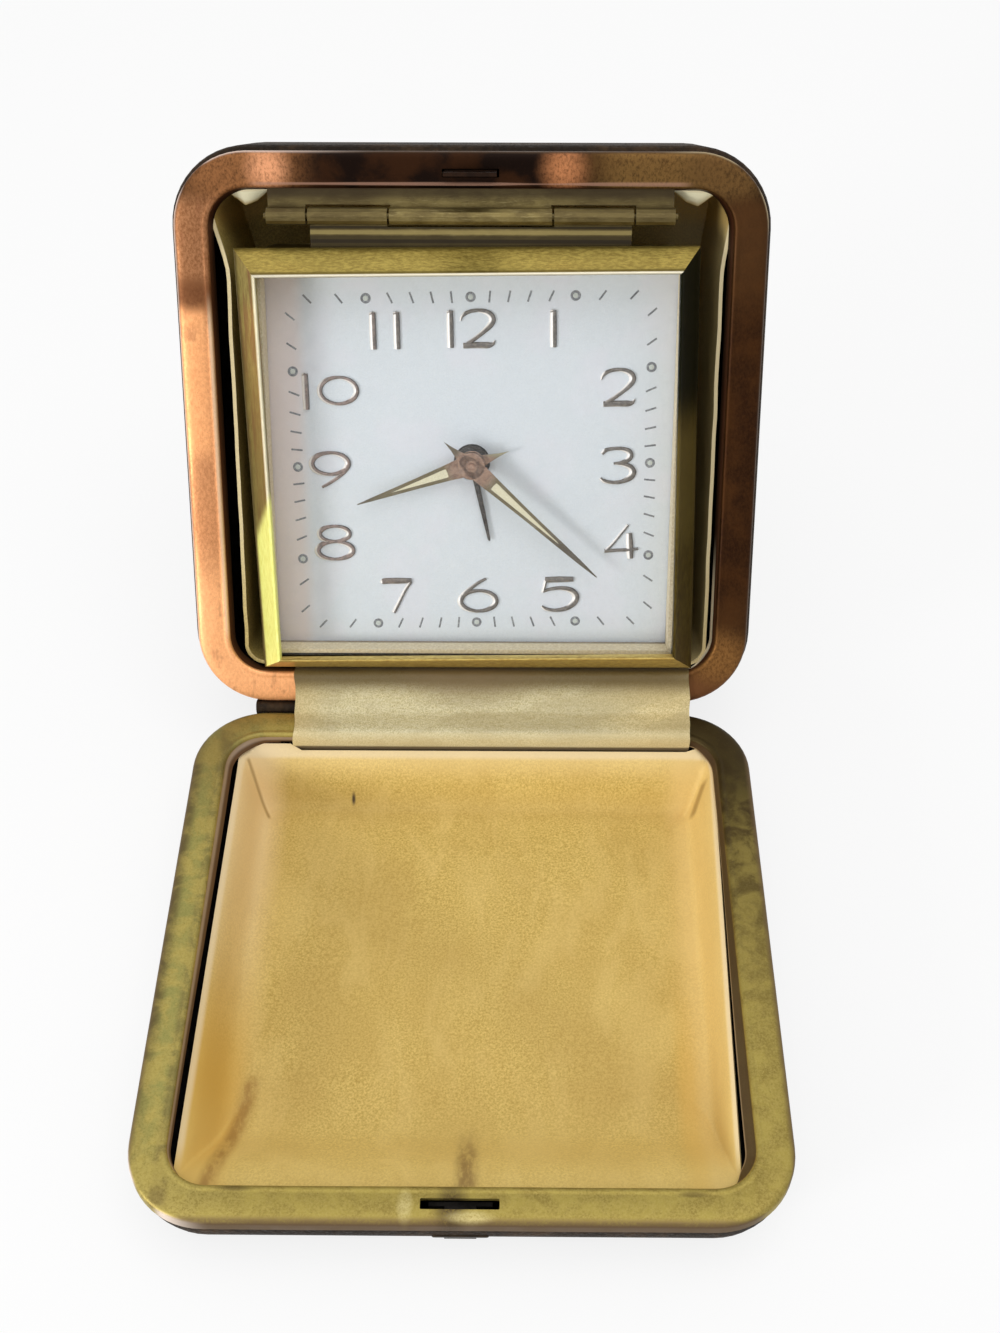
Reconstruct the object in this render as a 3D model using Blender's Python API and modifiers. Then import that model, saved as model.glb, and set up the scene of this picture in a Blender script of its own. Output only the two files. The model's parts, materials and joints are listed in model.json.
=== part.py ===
"""Travel alarm clock in a hinged leather case, with its movement, in metres with +Z up.

The lid lies flat on the table. The back half leans on its rear bottom edge, and the clock
hangs in it from a five-knuckle hinge. Each half of the case is modelled from its hinge-side
rim edge: X to the right, Y up the half, Z out of the rim plane.
"""

import math

import bmesh
import bpy
from mathutils import Matrix, Vector

MM = 0.001
DEG = math.pi / 180
QUARTER_TURN = math.pi / 2

# Clearances
seat_gap = 0.3 * MM
running_gap = 0.1 * MM
pivot_gap = 0.08 * MM
overrun = 2.0 * MM

# Front of the clock, which the case is built around
bezel_half_width = 31.3 * MM
bezel_half_height = 29.7 * MM

# Case halves
rim_land = 4.7 * MM
case_side_room = 4.0 * MM
case_end_room = 1.5 * MM
hinge_room = 4.1 * MM
pin_setback = 3.6 * MM
case_width = 2 * (bezel_half_width + case_side_room + rim_land)
case_height = 2 * (bezel_half_height + rim_land) + case_end_room + hinge_room + pin_setback
case_corner_radius = 10.0 * MM
lid_depth = 11.0 * MM
lid_edge_radius = 8.5 * MM
back_edge_radius = 5.5 * MM
back_bulge = 0.7 * MM
back_bulge_height = 1.4 * MM
leather = 0.9 * MM
pan_wall = 0.6 * MM
lining_card = 0.5 * MM
table_gap = 0.05 * MM
corner_steps = 6
edge_steps = 3
pan_corner_steps = 3
pan_edge_steps = 3

# Rims
rim_sheet = 0.5 * MM
rim_flange = 1.8 * MM
rim_inner_flange = 0.65 * MM
rim_round = 0.35 * MM
rim_round_share = 0.3
bead_inset = 0.75 * MM
bead_half_width = 0.3 * MM
bead_rise = 0.12 * MM

# Case hinge
rim_gap_closed = 0.6 * MM
hinge_setback = 0.4 * MM
spine_thickness = 0.5 * MM
spine_reach = 4.6 * MM
strip_end_room = 0.5 * MM
strip_thickness = 0.3 * MM
strip_reach = 3.2 * MM
strip_lift = 0.25 * MM

# Linings
lid_lining_side = 5.9 * MM
lid_lining_front = 4.9 * MM
lid_lining_rear = 6.0 * MM
lid_lining_drop = 2.2 * MM
lid_lining_corner = 4.0 * MM
lid_floor_side = 10.6 * MM
lid_floor_front = 17.6 * MM
lid_floor_rear = 12.6 * MM
lid_floor_corner = 2.5 * MM
back_lining_inset = 5.9 * MM
back_lining_drop = 1.6 * MM
back_lining_draft = 1.2 * MM
back_lining_corner = 4.0 * MM

# Catch
tongue_width = 7.0 * MM
tongue_thickness = 0.5 * MM
tongue_tip = 0.45 * MM
tongue_inset = 2.75 * MM
tongue_foot_inward = 1.3 * MM
tongue_foot_outward = 0.4 * MM
tongue_foot_thickness = 0.4 * MM
window_width = 4.4 * MM
window_height = 1.3 * MM
slot_length = 9.2 * MM
slot_width = 1.2 * MM
latch_travel = 0.5 * MM
latch_nose = 3.0 * MM
latch_nose_thickness = 0.5 * MM
latch_width = 7.6 * MM
latch_bite = 0.25 * MM
latch_leg = 0.5 * MM
plunger_room = 0.4 * MM
plunger_width = 4.0 * MM
plunger_height = 0.8 * MM
button_width = 7.0 * MM
button_height = 1.4 * MM
button_corner = 0.6 * MM
button_proud = 0.3 * MM
button_lift = 0.2 * MM
spring_width = 4.0 * MM
spring_thickness = 0.25 * MM
spring_foot = 3.0 * MM
spring_bend = 3.9 * MM

# Clock hinge, along the top of the clock
pin_drop = 0.05 * MM
pin_radius = 0.45 * MM
knuckle_radius = 1.15 * MM
hinge_end_room = 4.0 * MM
knuckle_end_shares = (0.403, 0.802, 1)
leaf_sheet = 0.4 * MM
leaf_seat = 2.5 * MM
finger_setback = 0.1 * MM
lower_leaf_skirt = 7.0 * MM
rivet_radius = 0.8 * MM
rivet_spacing = 16.0 * MM

# Bezel, dial and crystal; the clock box is centred on the dial
bezel_face = 0.3 * MM
bezel_chamfer = 2.7 * MM
bezel_rise = 4.0 * MM
bezel_lip = 0.3 * MM
bezel_lip_depth = 1.5 * MM
bezel_sheet = 0.4 * MM
bezel_skirt = 0.8 * MM
crystal_thickness = 0.6 * MM
crystal_overlap = 0.6 * MM
surround_wall = 0.6 * MM
dial_drop = 2.5 * MM
dial_sheet = 0.4 * MM
dial_hole = 2.6 * MM
dial_margin = 0.4 * MM
dial_foot_radius = 0.7 * MM
dial_foot_setback_x = 9.0 * MM
dial_foot_setback_y = 2.5 * MM

# Box of the clock
box_wall = 0.6 * MM
box_front_drop = 0.2 * MM
box_side_draft = 0.6 * MM
box_bottom_draft = 1.8 * MM
box_corner = 1.5 * MM
box_corner_steps = 3
cover_room = 1.8 * MM
cover_thickness = 0.6 * MM
cover_screw_setback_x = 3.0 * MM
cover_screw_setback_y = 2.7 * MM
screw_head_radius = 1.3 * MM
screw_head_height = 0.5 * MM
screw_radius = 0.55 * MM
post_radius = 1.5 * MM

# Plates of the movement
plate_half_width = 24.0 * MM
plate_half_height = 20.5 * MM
plate_corner = 4.0 * MM
plate_thickness = 0.8 * MM
motion_room = 3.0 * MM
movement_room = 5.7 * MM
pillar_radius = 1.1 * MM
pillar_setback_x = 2.0 * MM
pillar_setback_y = 2.3 * MM

# Teeth: working height over and under the pitch circle, in modules
addendum_share = 0.72
dedendum_share = 1.25
leaf_addendum_share = 0.45
front_share = 0.75
tip_share = 0.85

# Going train: teeth, modules, and the direction of each arbor from the one before it
barrel_teeth = 42
barrel_module = 0.4 * MM
centre_pinion_teeth = 6
barrel_direction = 222 * DEG
centre_teeth = 48
centre_module = 0.3 * MM
third_pinion_teeth = 6
third_direction = 120 * DEG
third_teeth = 45
third_module = 0.28 * MM
fourth_pinion_teeth = 6
fourth_direction = 15 * DEG
fourth_teeth = 60
fourth_module = 0.17 * MM
escape_pinion_teeth = 6
escape_direction = 30 * DEG
escape_teeth = 15
escape_radius = 3.0 * MM
escape_tooth = 0.7 * MM
lever_distance = 4.9 * MM
lever_direction = 25 * DEG
balance_distance = 4.8 * MM
pallet_gap = 0.45 * MM
pallet_spread = 62 * DEG
pallet_half_width = 0.15 * MM
fork_tip_share = 0.7
balance_direction = 3 * DEG
balance_radius = 4.2 * MM
balance_rim = 0.7 * MM
balance_spoke = 0.7 * MM
wheel_thickness = 0.4 * MM
barrel_wheel_thickness = 0.6 * MM
drum_height = 2.6 * MM
arbor_radius = 0.35 * MM
pivot_radius = 0.25 * MM
hollow_arbor_radius = 0.85 * MM
third_wheel_depth = 0.5 * MM
centre_wheel_depth = 1.3 * MM
great_wheel_depth = 2.3 * MM
fourth_wheel_depth = 3.3 * MM
escape_wheel_depth = 2.0 * MM
balance_depth = 3.6 * MM
pinion_length = 1.1 * MM

# Motion work under the dial
cannon_teeth = 10
minute_wheel_teeth = 30
motion_module = 0.24 * MM
minute_pinion_teeth = 8
hour_wheel_teeth = 32
minute_wheel_direction = 225 * DEG
minute_wheel_lift = 0.5 * MM
hour_wheel_lift = 1.2 * MM
alarm_wheel_lift = 2.25 * MM
motion_sheet = 0.3 * MM
alarm_wheel_teeth = 36
alarm_pinion_teeth = 12
alarm_module = 0.38 * MM
alarm_set_direction = 17 * DEG
set_shaft_radius = 0.5 * MM
cannon_radius = 0.8 * MM
hour_pipe_wall = 0.3 * MM
alarm_pipe_wall = 0.35 * MM
stud_radius = 0.4 * MM

# Hands
minute_hand_length = 24.0 * MM
minute_hand_width = 2.0 * MM
hour_hand_length = 17.3 * MM
hour_hand_width = 2.2 * MM
alarm_hand_length = 11.6 * MM
alarm_hand_width = 0.9 * MM
hand_sheet = 0.25 * MM
hand_hub_radius = 1.9 * MM
minute_hand_lift = 2.8 * MM
hour_hand_lift = 1.7 * MM
alarm_hand_lift = 0.6 * MM
minute_hand_angle = (90 - 132.8) * DEG
hour_hand_angle = (90 - 251.1) * DEG
alarm_hand_angle = (90 - 168.4) * DEG

# Alarm works
alarm_barrel_teeth = 36
alarm_barrel_x = 13.0 * MM
alarm_barrel_y = -8.0 * MM
alarm_escape_pinion_teeth = 6
alarm_escape_direction = 215 * DEG
alarm_escape_teeth = 12
alarm_escape_radius = 2.6 * MM
alarm_escape_tooth = 0.6 * MM
alarm_escape_depth = 1.1 * MM
hammer_distance = 3.9 * MM
hammer_direction = 250 * DEG
hammer_arm = 11.5 * MM
hammer_arm_width = 1.0 * MM
hammer_head = 3.2 * MM
hammer_rest_angle = 212 * DEG

# Keys, knobs and levers on the back cover
key_arbor_radius = 0.8 * MM
key_hub_radius = 1.8 * MM
key_span = 11.5 * MM
key_wing_thickness = 1.2 * MM
key_hub_height = 2.2 * MM
key_wing_height = 3.8 * MM
knob_radius = 3.6 * MM
knob_height = 3.0 * MM
knob_flutes = 16
knob_flute_depth = 0.25 * MM
knob_gap = 0.4 * MM
cover_hole_margin = 0.4 * MM
key_room = 2.6 * MM
stop_setback_x = 9.0 * MM
stop_setback_y = 7.5 * MM
stop_travel = 2.0 * MM
stop_radius = 2.2 * MM
stop_shaft_radius = 0.8 * MM
stop_cap_height = 1.2 * MM
stop_top_share = 0.8
regulator_reach = 6.0 * MM
regulator_direction = 250 * DEG
regulator_swing = 20 * DEG
regulator_sheet = 0.4 * MM
regulator_depth = 0.7 * MM
regulator_pin = 0.45 * MM
regulator_collar = 1.6 * MM
regulator_boss = 0.7 * MM

# Places across the case
spine_width = case_width - 2 * case_corner_radius
strip_width = case_width - 2 * (case_corner_radius + strip_end_room)
pin_height = case_height - rim_land - pin_setback
clock_centre = pin_height - hinge_room - bezel_half_height
knuckle_ends = [share * (bezel_half_width - hinge_end_room) for share in knuckle_end_shares]
upper_leaf_reach = pin_setback + leaf_seat
window_centre = latch_nose + rim_gap_closed
tongue_height = window_centre + window_height / 2 + tongue_tip
plunger_drop = tongue_height - rim_gap_closed + plunger_room + plunger_height / 2
axis_rise = rim_gap_closed / 2
lid_wall_offset = leather + seat_gap
pan_inner_offset = lid_wall_offset + pan_wall
lining_floor_offset = pan_inner_offset + seat_gap + lining_card

# Places across the clock
pillar_x = plate_half_width - pillar_setback_x
pillar_y = plate_half_height - pillar_setback_y
cover_screw_x = plate_half_width - cover_screw_setback_x
cover_screw_y = plate_half_height - cover_screw_setback_y
dial_foot_x = plate_half_width - dial_foot_setback_x
dial_foot_y = plate_half_height - dial_foot_setback_y
stop_x = stop_setback_x - plate_half_width
stop_y = plate_half_height - stop_setback_y

# Depths behind the rim plane, from the dial backwards
alarm_hand_drop = dial_drop - alarm_hand_lift
hour_hand_drop = dial_drop - hour_hand_lift
minute_hand_rise = minute_hand_lift - dial_drop
front_plate_front = dial_drop + dial_sheet + motion_room
front_plate_drop = front_plate_front + plate_thickness
minute_wheel_drop = front_plate_front - minute_wheel_lift
hour_wheel_drop = front_plate_front - hour_wheel_lift
alarm_wheel_drop = front_plate_front - alarm_wheel_lift
third_wheel_drop = front_plate_drop + third_wheel_depth
centre_wheel_drop = front_plate_drop + centre_wheel_depth
great_wheel_drop = front_plate_drop + great_wheel_depth
fourth_wheel_drop = front_plate_drop + fourth_wheel_depth
escape_wheel_drop = front_plate_drop + escape_wheel_depth
balance_drop = front_plate_drop + balance_depth
alarm_escape_drop = front_plate_drop + alarm_escape_depth
back_plate_drop = front_plate_drop + movement_room
back_plate_rear = back_plate_drop + plate_thickness
regulator_drop = back_plate_rear + regulator_depth
box_depth = back_plate_rear + cover_room
back_cover_drop = box_depth + seat_gap
knob_top = back_cover_drop + cover_thickness + knob_gap
back_depth = knob_top + key_hub_height / 2 + key_wing_height + key_room + lining_floor_offset


def lean_angle():
    """Angle of the back half's rim plane at which its rear bottom edge meets the table."""
    up_the_half = hinge_setback + back_edge_radius - back_bulge
    into_the_half = axis_rise + back_depth - back_edge_radius
    reach = math.hypot(up_the_half, into_the_half)
    drop = back_edge_radius + table_gap - lid_depth - axis_rise
    return math.atan2(into_the_half, up_the_half) + math.asin(drop / reach)


def rear_reach():
    """Distance from the lid's hinge edge to the rearmost point of the leaning back half."""
    lean = lean_angle()
    up_the_half = hinge_setback + case_height + back_bulge - back_edge_radius
    into_the_half = axis_rise + back_depth - back_edge_radius
    turned = up_the_half * math.cos(lean) + into_the_half * math.sin(lean)
    return hinge_setback + turned + back_edge_radius


def back_to_lid(y, z):
    """A point of the back half's side view, in the lid's side view."""
    lean = lean_angle()
    up_the_half = y + hinge_setback
    out_of_half = z - axis_rise
    return (hinge_setback + up_the_half * math.cos(lean) - out_of_half * math.sin(lean),
            axis_rise + up_the_half * math.sin(lean) + out_of_half * math.cos(lean))


# Scene, collections and materials

def clear_scene():
    for old in list(bpy.data.objects):
        bpy.data.objects.remove(old, do_unlink=True)


def make_collection(name):
    collection = bpy.data.collections.new(name)
    bpy.context.scene.collection.children.link(collection)
    return collection


def make_material(name, colour, roughness, metallic, alpha=1.0):
    material = bpy.data.materials.new(name)
    material.use_nodes = True
    shader = material.node_tree.nodes["Principled BSDF"]
    shader.inputs["Base Color"].default_value = (*colour, 1.0)
    shader.inputs["Roughness"].default_value = roughness
    shader.inputs["Metallic"].default_value = metallic
    shader.inputs["Alpha"].default_value = alpha
    material.diffuse_color = (*colour, alpha)
    return material


clear_scene()
parts = make_collection("travel_alarm_clock")

LOOKS = {
    "leather": ((0.035, 0.022, 0.016), 0.55, 0.0),
    "steel_pan": ((0.35, 0.34, 0.33), 0.45, 1.0),
    "lid_gilt": ((0.52, 0.45, 0.20), 0.38, 1.0),
    "back_gilt": ((0.62, 0.33, 0.20), 0.32, 1.0),
    "gold_lining": ((0.62, 0.44, 0.15), 0.5, 0.0),
    "satin": ((0.66, 0.58, 0.38), 0.45, 0.0),
    "brass": ((0.60, 0.50, 0.22), 0.3, 1.0),
    "steel": ((0.55, 0.55, 0.55), 0.3, 1.0),
    "cream": ((0.78, 0.72, 0.56), 0.5, 0.0),
    "dial_white": ((0.82, 0.82, 0.83), 0.5, 0.0),
    "rose_gilt": ((0.55, 0.34, 0.24), 0.35, 1.0),
    "dark_steel": ((0.08, 0.07, 0.07), 0.4, 1.0),
}
materials = {name: make_material(name, *look) for name, look in LOOKS.items()}
materials["crystal"] = make_material("crystal", (0.95, 0.97, 0.97), 0.05, 0.0, 0.2)


# Frames that carry the moving bodies

def make_frame(name, parent, location, rotation=(0, 0, 0)):
    frame = bpy.data.objects.new(name, None)
    parts.objects.link(frame)
    frame.parent = parent
    frame.location = location
    frame.rotation_euler = rotation
    return frame


front_reach = case_height + button_lift + button_proud
middle_shift = (front_reach - rear_reach()) / 2
lid_frame = make_frame("lid_frame", None, (0, middle_shift, lid_depth))
case_hinge_axis = make_frame("case_hinge_axis", lid_frame, (0, hinge_setback, axis_rise),
                             (lean_angle(), 0, 0))
back_frame = make_frame("back_frame", case_hinge_axis, (0, hinge_setback, -axis_rise))
clock_hinge_axis = make_frame("clock_hinge_axis", back_frame, (0, pin_height, -pin_drop))
clock_frame = make_frame("clock_frame", clock_hinge_axis,
                         (0, clock_centre - pin_height, pin_drop))


# Mesh building

def place(mesh, name, material, parent, location=(0, 0, 0), smooth=40):
    """Make an object of a mesh, in its frame and with its material."""
    mesh.name = name
    mesh.materials.clear()
    mesh.materials.append(materials[material])
    if smooth:
        mesh.shade_smooth()
        mesh.set_sharp_from_angle(angle=smooth * DEG)
    piece = bpy.data.objects.new(name, mesh)
    parts.objects.link(piece)
    piece.parent = parent
    piece.location = location
    return piece


def bake(piece):
    """Take the evaluated mesh of a helper object, in world space, and remove the helper."""
    depsgraph = bpy.context.evaluated_depsgraph_get()
    evaluated = piece.evaluated_get(depsgraph)
    mesh = bpy.data.meshes.new_from_object(evaluated, depsgraph=depsgraph)
    mesh.transform(piece.matrix_world)
    bpy.data.objects.remove(piece, do_unlink=True)
    return mesh


def helper(data, name="helper"):
    piece = bpy.data.objects.new(name, data)
    bpy.context.scene.collection.objects.link(piece)
    return piece


def weld(mesh):
    """Join doubled points and turn the faces outwards."""
    shape = bmesh.new()
    shape.from_mesh(mesh)
    bmesh.ops.remove_doubles(shape, verts=shape.verts, dist=0.0005 * MM)
    bmesh.ops.recalc_face_normals(shape, faces=shape.faces)
    shape.to_mesh(mesh)
    shape.free()
    return mesh


def combine(first, others, operation="UNION"):
    """Boolean of meshes; the result is one mesh."""
    base = helper(first)
    tools = [helper(other) for other in others]
    for tool in tools:
        step = base.modifiers.new(operation, "BOOLEAN")
        step.operation = operation
        step.solver = "EXACT"
        step.object = tool
    bpy.context.view_layer.update()
    mesh = bake(base)
    for tool in tools:
        bpy.data.objects.remove(tool, do_unlink=True)
    return weld(mesh)


def cut(mesh, cutters):
    return combine(mesh, cutters, "DIFFERENCE")


def moved(mesh, offset=(0, 0, 0), turn=0, axis="Z"):
    mesh.transform(Matrix.Translation(offset) @ Matrix.Rotation(turn, 4, axis))
    return mesh


def block(low, high):
    """Box between two corners."""
    shape = bmesh.new()
    bmesh.ops.create_cube(shape, size=1.0)
    size = Vector(high) - Vector(low)
    middle = (Vector(high) + Vector(low)) / 2
    bmesh.ops.transform(shape, matrix=Matrix.Translation(middle) @ Matrix.Diagonal((*size, 1)),
                        verts=shape.verts)
    mesh = bpy.data.meshes.new("block")
    shape.to_mesh(mesh)
    shape.free()
    return mesh


def cylinder(radius, bottom, top, centre=(0, 0), sides=10):
    shape = bmesh.new()
    bmesh.ops.create_cone(shape, cap_ends=True, segments=sides, radius1=radius, radius2=radius,
                          depth=top - bottom)
    mesh = bpy.data.meshes.new("cylinder")
    shape.to_mesh(mesh)
    shape.free()
    return moved(mesh, (centre[0], centre[1], (top + bottom) / 2))


def turned(profile, sides=20, closed=False):
    """Solid turned about Z from (radius, height) points, top to bottom on the outer side."""
    mesh = bpy.data.meshes.new("profile")
    points = [(radius, 0, height) for radius, height in profile]
    links = [(i, i + 1) for i in range(len(points) - 1)]
    if closed:
        links.append((len(points) - 1, 0))
    mesh.from_pydata(points, links, [])
    piece = helper(mesh)
    screw = piece.modifiers.new("turn", "SCREW")
    screw.steps = sides
    screw.render_steps = sides
    screw.use_merge_vertices = True
    screw.merge_threshold = 0.001 * MM
    bpy.context.view_layer.update()
    return weld(bake(piece))


def flat(outlines, bottom, top):
    """Plate between two heights: the first outline is its edge, the others are holes."""
    curve = bpy.data.curves.new("outline", "CURVE")
    curve.dimensions = "2D"
    curve.fill_mode = "BOTH"
    curve.extrude = (top - bottom) / 2
    for outline in outlines:
        spline = curve.splines.new("POLY")
        spline.points.add(len(outline) - 1)
        for point, (x, y) in zip(spline.points, outline):
            point.co = (x, y, 0, 1)
        spline.use_cyclic_u = True
    piece = helper(curve)
    piece.location = (0, 0, (top + bottom) / 2)
    bpy.context.view_layer.update()
    return weld(bake(piece))


def circle(radius, centre=(0, 0), sides=10, start=0):
    return [(centre[0] + radius * math.cos(start + 2 * math.pi * i / sides),
             centre[1] + radius * math.sin(start + 2 * math.pi * i / sides))
            for i in range(sides)]


def rounded_box(low, high, radius, steps):
    """Outline of a rectangle with round corners, from its lower right corner round to the left."""
    centres = ((high[0] - radius, low[1] + radius), (high[0] - radius, high[1] - radius),
               (low[0] + radius, high[1] - radius), (low[0] + radius, low[1] + radius))
    outline = []
    for corner, (x, y) in enumerate(centres):
        for i in range(steps + 1):
            angle = (corner - 1 + i / steps) * QUARTER_TURN
            outline.append((x + radius * math.cos(angle), y + radius * math.sin(angle)))
    return outline


def inset_box(low, high, radius, inset, steps):
    """The same outline, brought in by an inset."""
    return rounded_box((low[0] + inset, low[1] + inset), (high[0] - inset, high[1] - inset),
                       radius - inset, steps)


def lofted(rings, around=False, cap_ends=False):
    """Skin over rings of equal count, each a list of (x, y, z)."""
    shape = bmesh.new()
    rows = [[shape.verts.new(point) for point in ring] for ring in rings]
    count = len(rows[0])
    pairs = list(zip(rows, rows[1:]))
    if around:
        pairs.append((rows[-1], rows[0]))
    for one, two in pairs:
        for i in range(count):
            j = (i + 1) % count
            shape.faces.new((one[i], one[j], two[j], two[i]))
    if cap_ends:
        shape.faces.new(rows[-1])
        if cap_ends == "both":
            shape.faces.new(rows[0])
    bmesh.ops.recalc_face_normals(shape, faces=shape.faces)
    mesh = bpy.data.meshes.new("loft")
    shape.to_mesh(mesh)
    shape.free()
    return mesh


def at_height(outline, z):
    return [(x, y, z) for x, y in outline]


def swept_frame(low, high, radius, section, steps):
    """Closed frame: a section of (inset, height) points carried round a rounded rectangle."""
    return lofted([at_height(inset_box(low, high, radius, inset, steps), z)
                   for inset, z in section], around=True)


def shell(rings, thickness, outwards=False):
    """Open tray with a wall: rings from its edge down to its floor, then Solidify."""
    tray = lofted(rings, cap_ends=True)
    shape = bmesh.new()
    shape.from_mesh(tray)
    floor = max(shape.faces, key=lambda face: len(face.verts))
    if floor.normal.z > 0:
        bmesh.ops.reverse_faces(shape, faces=shape.faces)
    shape.to_mesh(tray)
    shape.free()
    piece = helper(tray)
    wall = piece.modifiers.new("wall", "SOLIDIFY")
    wall.thickness = thickness
    wall.offset = 1 if outwards else -1
    wall.use_even_offset = True
    bpy.context.view_layer.update()
    return weld(bake(piece))


def ribbon(path, thickness, width):
    """Sheet that follows a side view path of (y, z) points, centred on X."""
    near = []
    far = []
    for i, (y, z) in enumerate(path):
        before = Vector(path[max(i - 1, 0)])
        after = Vector(path[min(i + 1, len(path) - 1)])
        here = Vector((y, z))
        into = (here - before).normalized() if i else (after - here).normalized()
        out = (after - here).normalized() if i < len(path) - 1 else into
        along = (into + out).normalized()
        spread = min(1 / max(along.dot(into), 0.35), 2.0)
        normal = Vector((-along.y, along.x)) * thickness / 2 * spread
        near.append(here + normal)
        far.append(here - normal)
    outline = near + far[::-1]
    return prism_along_x([(point.x, point.y) for point in outline], -width / 2, width / 2)


def prism_along_x(outline, start, end):
    """Side view outline of (y, z) points, carried along X."""
    mesh = flat([outline], start, end)
    mesh.transform(Matrix(((0, 0, 1, 0), (1, 0, 0, 0), (0, 1, 0, 0), (0, 0, 0, 1))))
    return mesh


# Toothed wheels

def gear_outline(teeth, module, phase=0, tooth_share=addendum_share):
    """Outline of a spur gear with a pointed tooth centred on the phase angle."""
    pitch_radius = teeth * module / 2
    tip = pitch_radius + tooth_share * module
    root = pitch_radius - dedendum_share * module
    pitch = 2 * math.pi / teeth
    outline = []
    for i in range(teeth):
        middle = phase + i * pitch
        for radius, share in ((root, -0.5), (tip, 0)):
            angle = middle + share * pitch
            outline.append((radius * math.cos(angle), radius * math.sin(angle)))
    return outline


def mesh_phase(direction, teeth, phase, next_teeth):
    """Phase of the next gear, seen in a direction, so that its gap meets this gear's tooth."""
    pitch = 2 * math.pi / teeth
    next_pitch = 2 * math.pi / next_teeth
    here = (direction - phase) / pitch
    return direction + math.pi - next_pitch * (0.5 - here)


def escape_outline(teeth, radius, depth):
    """Saw-toothed escape wheel."""
    pitch = 2 * math.pi / teeth
    outline = []
    for i in range(teeth):
        for reach, share in ((radius - depth, 0), (radius, front_share), (radius, tip_share)):
            outline.append(from_polar((0, 0), reach, (i + share) * pitch))
    return outline


def from_polar(start, distance, direction):
    return (start[0] + distance * math.cos(direction), start[1] + distance * math.sin(direction))


def arbor(radius, pivot, bottom, top):
    """Plain arbor with a thinner pivot at each end, one plate thickness long."""
    shoulder = plate_thickness + running_gap
    return turned([(0, top), (pivot, top), (pivot, top - shoulder), (radius, top - shoulder),
                   (radius, bottom + shoulder), (pivot, bottom + shoulder), (pivot, bottom),
                   (0, bottom)], sides=10)


def layer(drop, thickness):
    """Bottom and top of a wheel centred at a depth behind the rim plane."""
    return -drop - thickness / 2, -drop + thickness / 2


# Positions of the arbors, from the middle of the dial
centre_at = (0.0, 0.0)
barrel_at = from_polar(centre_at, (barrel_teeth + centre_pinion_teeth) * barrel_module / 2,
                       barrel_direction)
third_at = from_polar(centre_at, (centre_teeth + third_pinion_teeth) * centre_module / 2,
                      third_direction)
fourth_at = from_polar(third_at, (third_teeth + fourth_pinion_teeth) * third_module / 2,
                       fourth_direction)
escape_at = from_polar(fourth_at, (fourth_teeth + escape_pinion_teeth) * fourth_module / 2,
                       escape_direction)
lever_at = from_polar(escape_at, lever_distance, lever_direction)
balance_at = from_polar(lever_at, balance_distance, balance_direction)
minute_wheel_at = from_polar(centre_at, (cannon_teeth + minute_wheel_teeth) * motion_module / 2,
                             minute_wheel_direction)
hour_module = (2 * math.hypot(*minute_wheel_at)) / (minute_pinion_teeth + hour_wheel_teeth)
alarm_set_at = from_polar(centre_at, (alarm_wheel_teeth + alarm_pinion_teeth) * alarm_module / 2,
                          alarm_set_direction)
alarm_barrel_at = (alarm_barrel_x, alarm_barrel_y)
alarm_escape_at = from_polar(alarm_barrel_at,
                             (alarm_barrel_teeth + alarm_escape_pinion_teeth) * barrel_module / 2,
                             alarm_escape_direction)
hammer_at = from_polar(alarm_escape_at, hammer_distance, hammer_direction)
stop_at = (stop_x, stop_y)


# Case halves

lid_low = (-case_width / 2, -case_height)
lid_high = (case_width / 2, 0)
back_low = (-case_width / 2, 0)
back_high = (case_width / 2, case_height)


def rim_section():
    """Section of a rim: turned down outer edge, a bead along both edges of the land."""
    inner = rim_land - bead_inset
    return [(0, -rim_flange), (0, -rim_round),
            (rim_round * rim_round_share, -rim_round * rim_round_share), (rim_round, 0),
            (bead_inset, bead_rise), (bead_inset + bead_half_width, 0),
            (inner - bead_half_width, 0), (inner, bead_rise),
            (rim_land, -rim_round), (rim_land, -rim_inner_flange),
            (rim_land - rim_sheet, -rim_sheet), (rim_sheet, -rim_sheet), (rim_sheet, -rim_flange)]


def wall_profile(offset, top, depth, edge_radius, bulge, steps):
    """Wall of a case half from its edge to its floor, as (inset, height) points."""
    centre = edge_radius - bulge
    radius = edge_radius - offset
    profile = [(offset, -top)]
    if bulge:
        neck = rim_flange + seat_gap
        if neck > top:
            profile.append((offset, -neck))
        profile.append((offset - bulge, -neck - back_bulge_height))
    for i in range(steps + 1):
        angle = QUARTER_TURN * i / steps
        profile.append((centre - radius * math.cos(angle),
                        edge_radius - depth - radius * math.sin(angle)))
    return profile


def wall_rings(low, high, profile, steps):
    return [at_height(inset_box(low, high, case_corner_radius, inset, steps), z)
            for inset, z in profile]


def build_leather(name, parent, low, high, depth, edge_radius, bulge, cutters=()):
    profile = wall_profile(0, rim_flange + seat_gap, depth, edge_radius, bulge, edge_steps)
    mesh = shell(wall_rings(low, high, profile, corner_steps), leather)
    if cutters:
        mesh = cut(mesh, cutters)
    return place(mesh, name, "leather", parent)


def build_pan(name, parent, low, high, depth, edge_radius, bulge, cutters=()):
    profile = wall_profile(lid_wall_offset, rim_sheet + seat_gap, depth, edge_radius, bulge,
                           pan_edge_steps)
    mesh = shell(wall_rings(low, high, profile, pan_corner_steps), pan_wall)
    if cutters:
        mesh = cut(mesh, cutters)
    return place(mesh, name, "steel_pan", parent)


def plunger_hole():
    """Cutter for the catch plunger through the lid's front wall."""
    half_width = plunger_width / 2 + pivot_gap + running_gap
    half_height = plunger_height / 2 + pivot_gap + running_gap
    front = -case_height - overrun
    return block((-half_width, front, -plunger_drop - half_height),
                 (half_width, front + lid_edge_radius, -plunger_drop + half_height))


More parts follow.
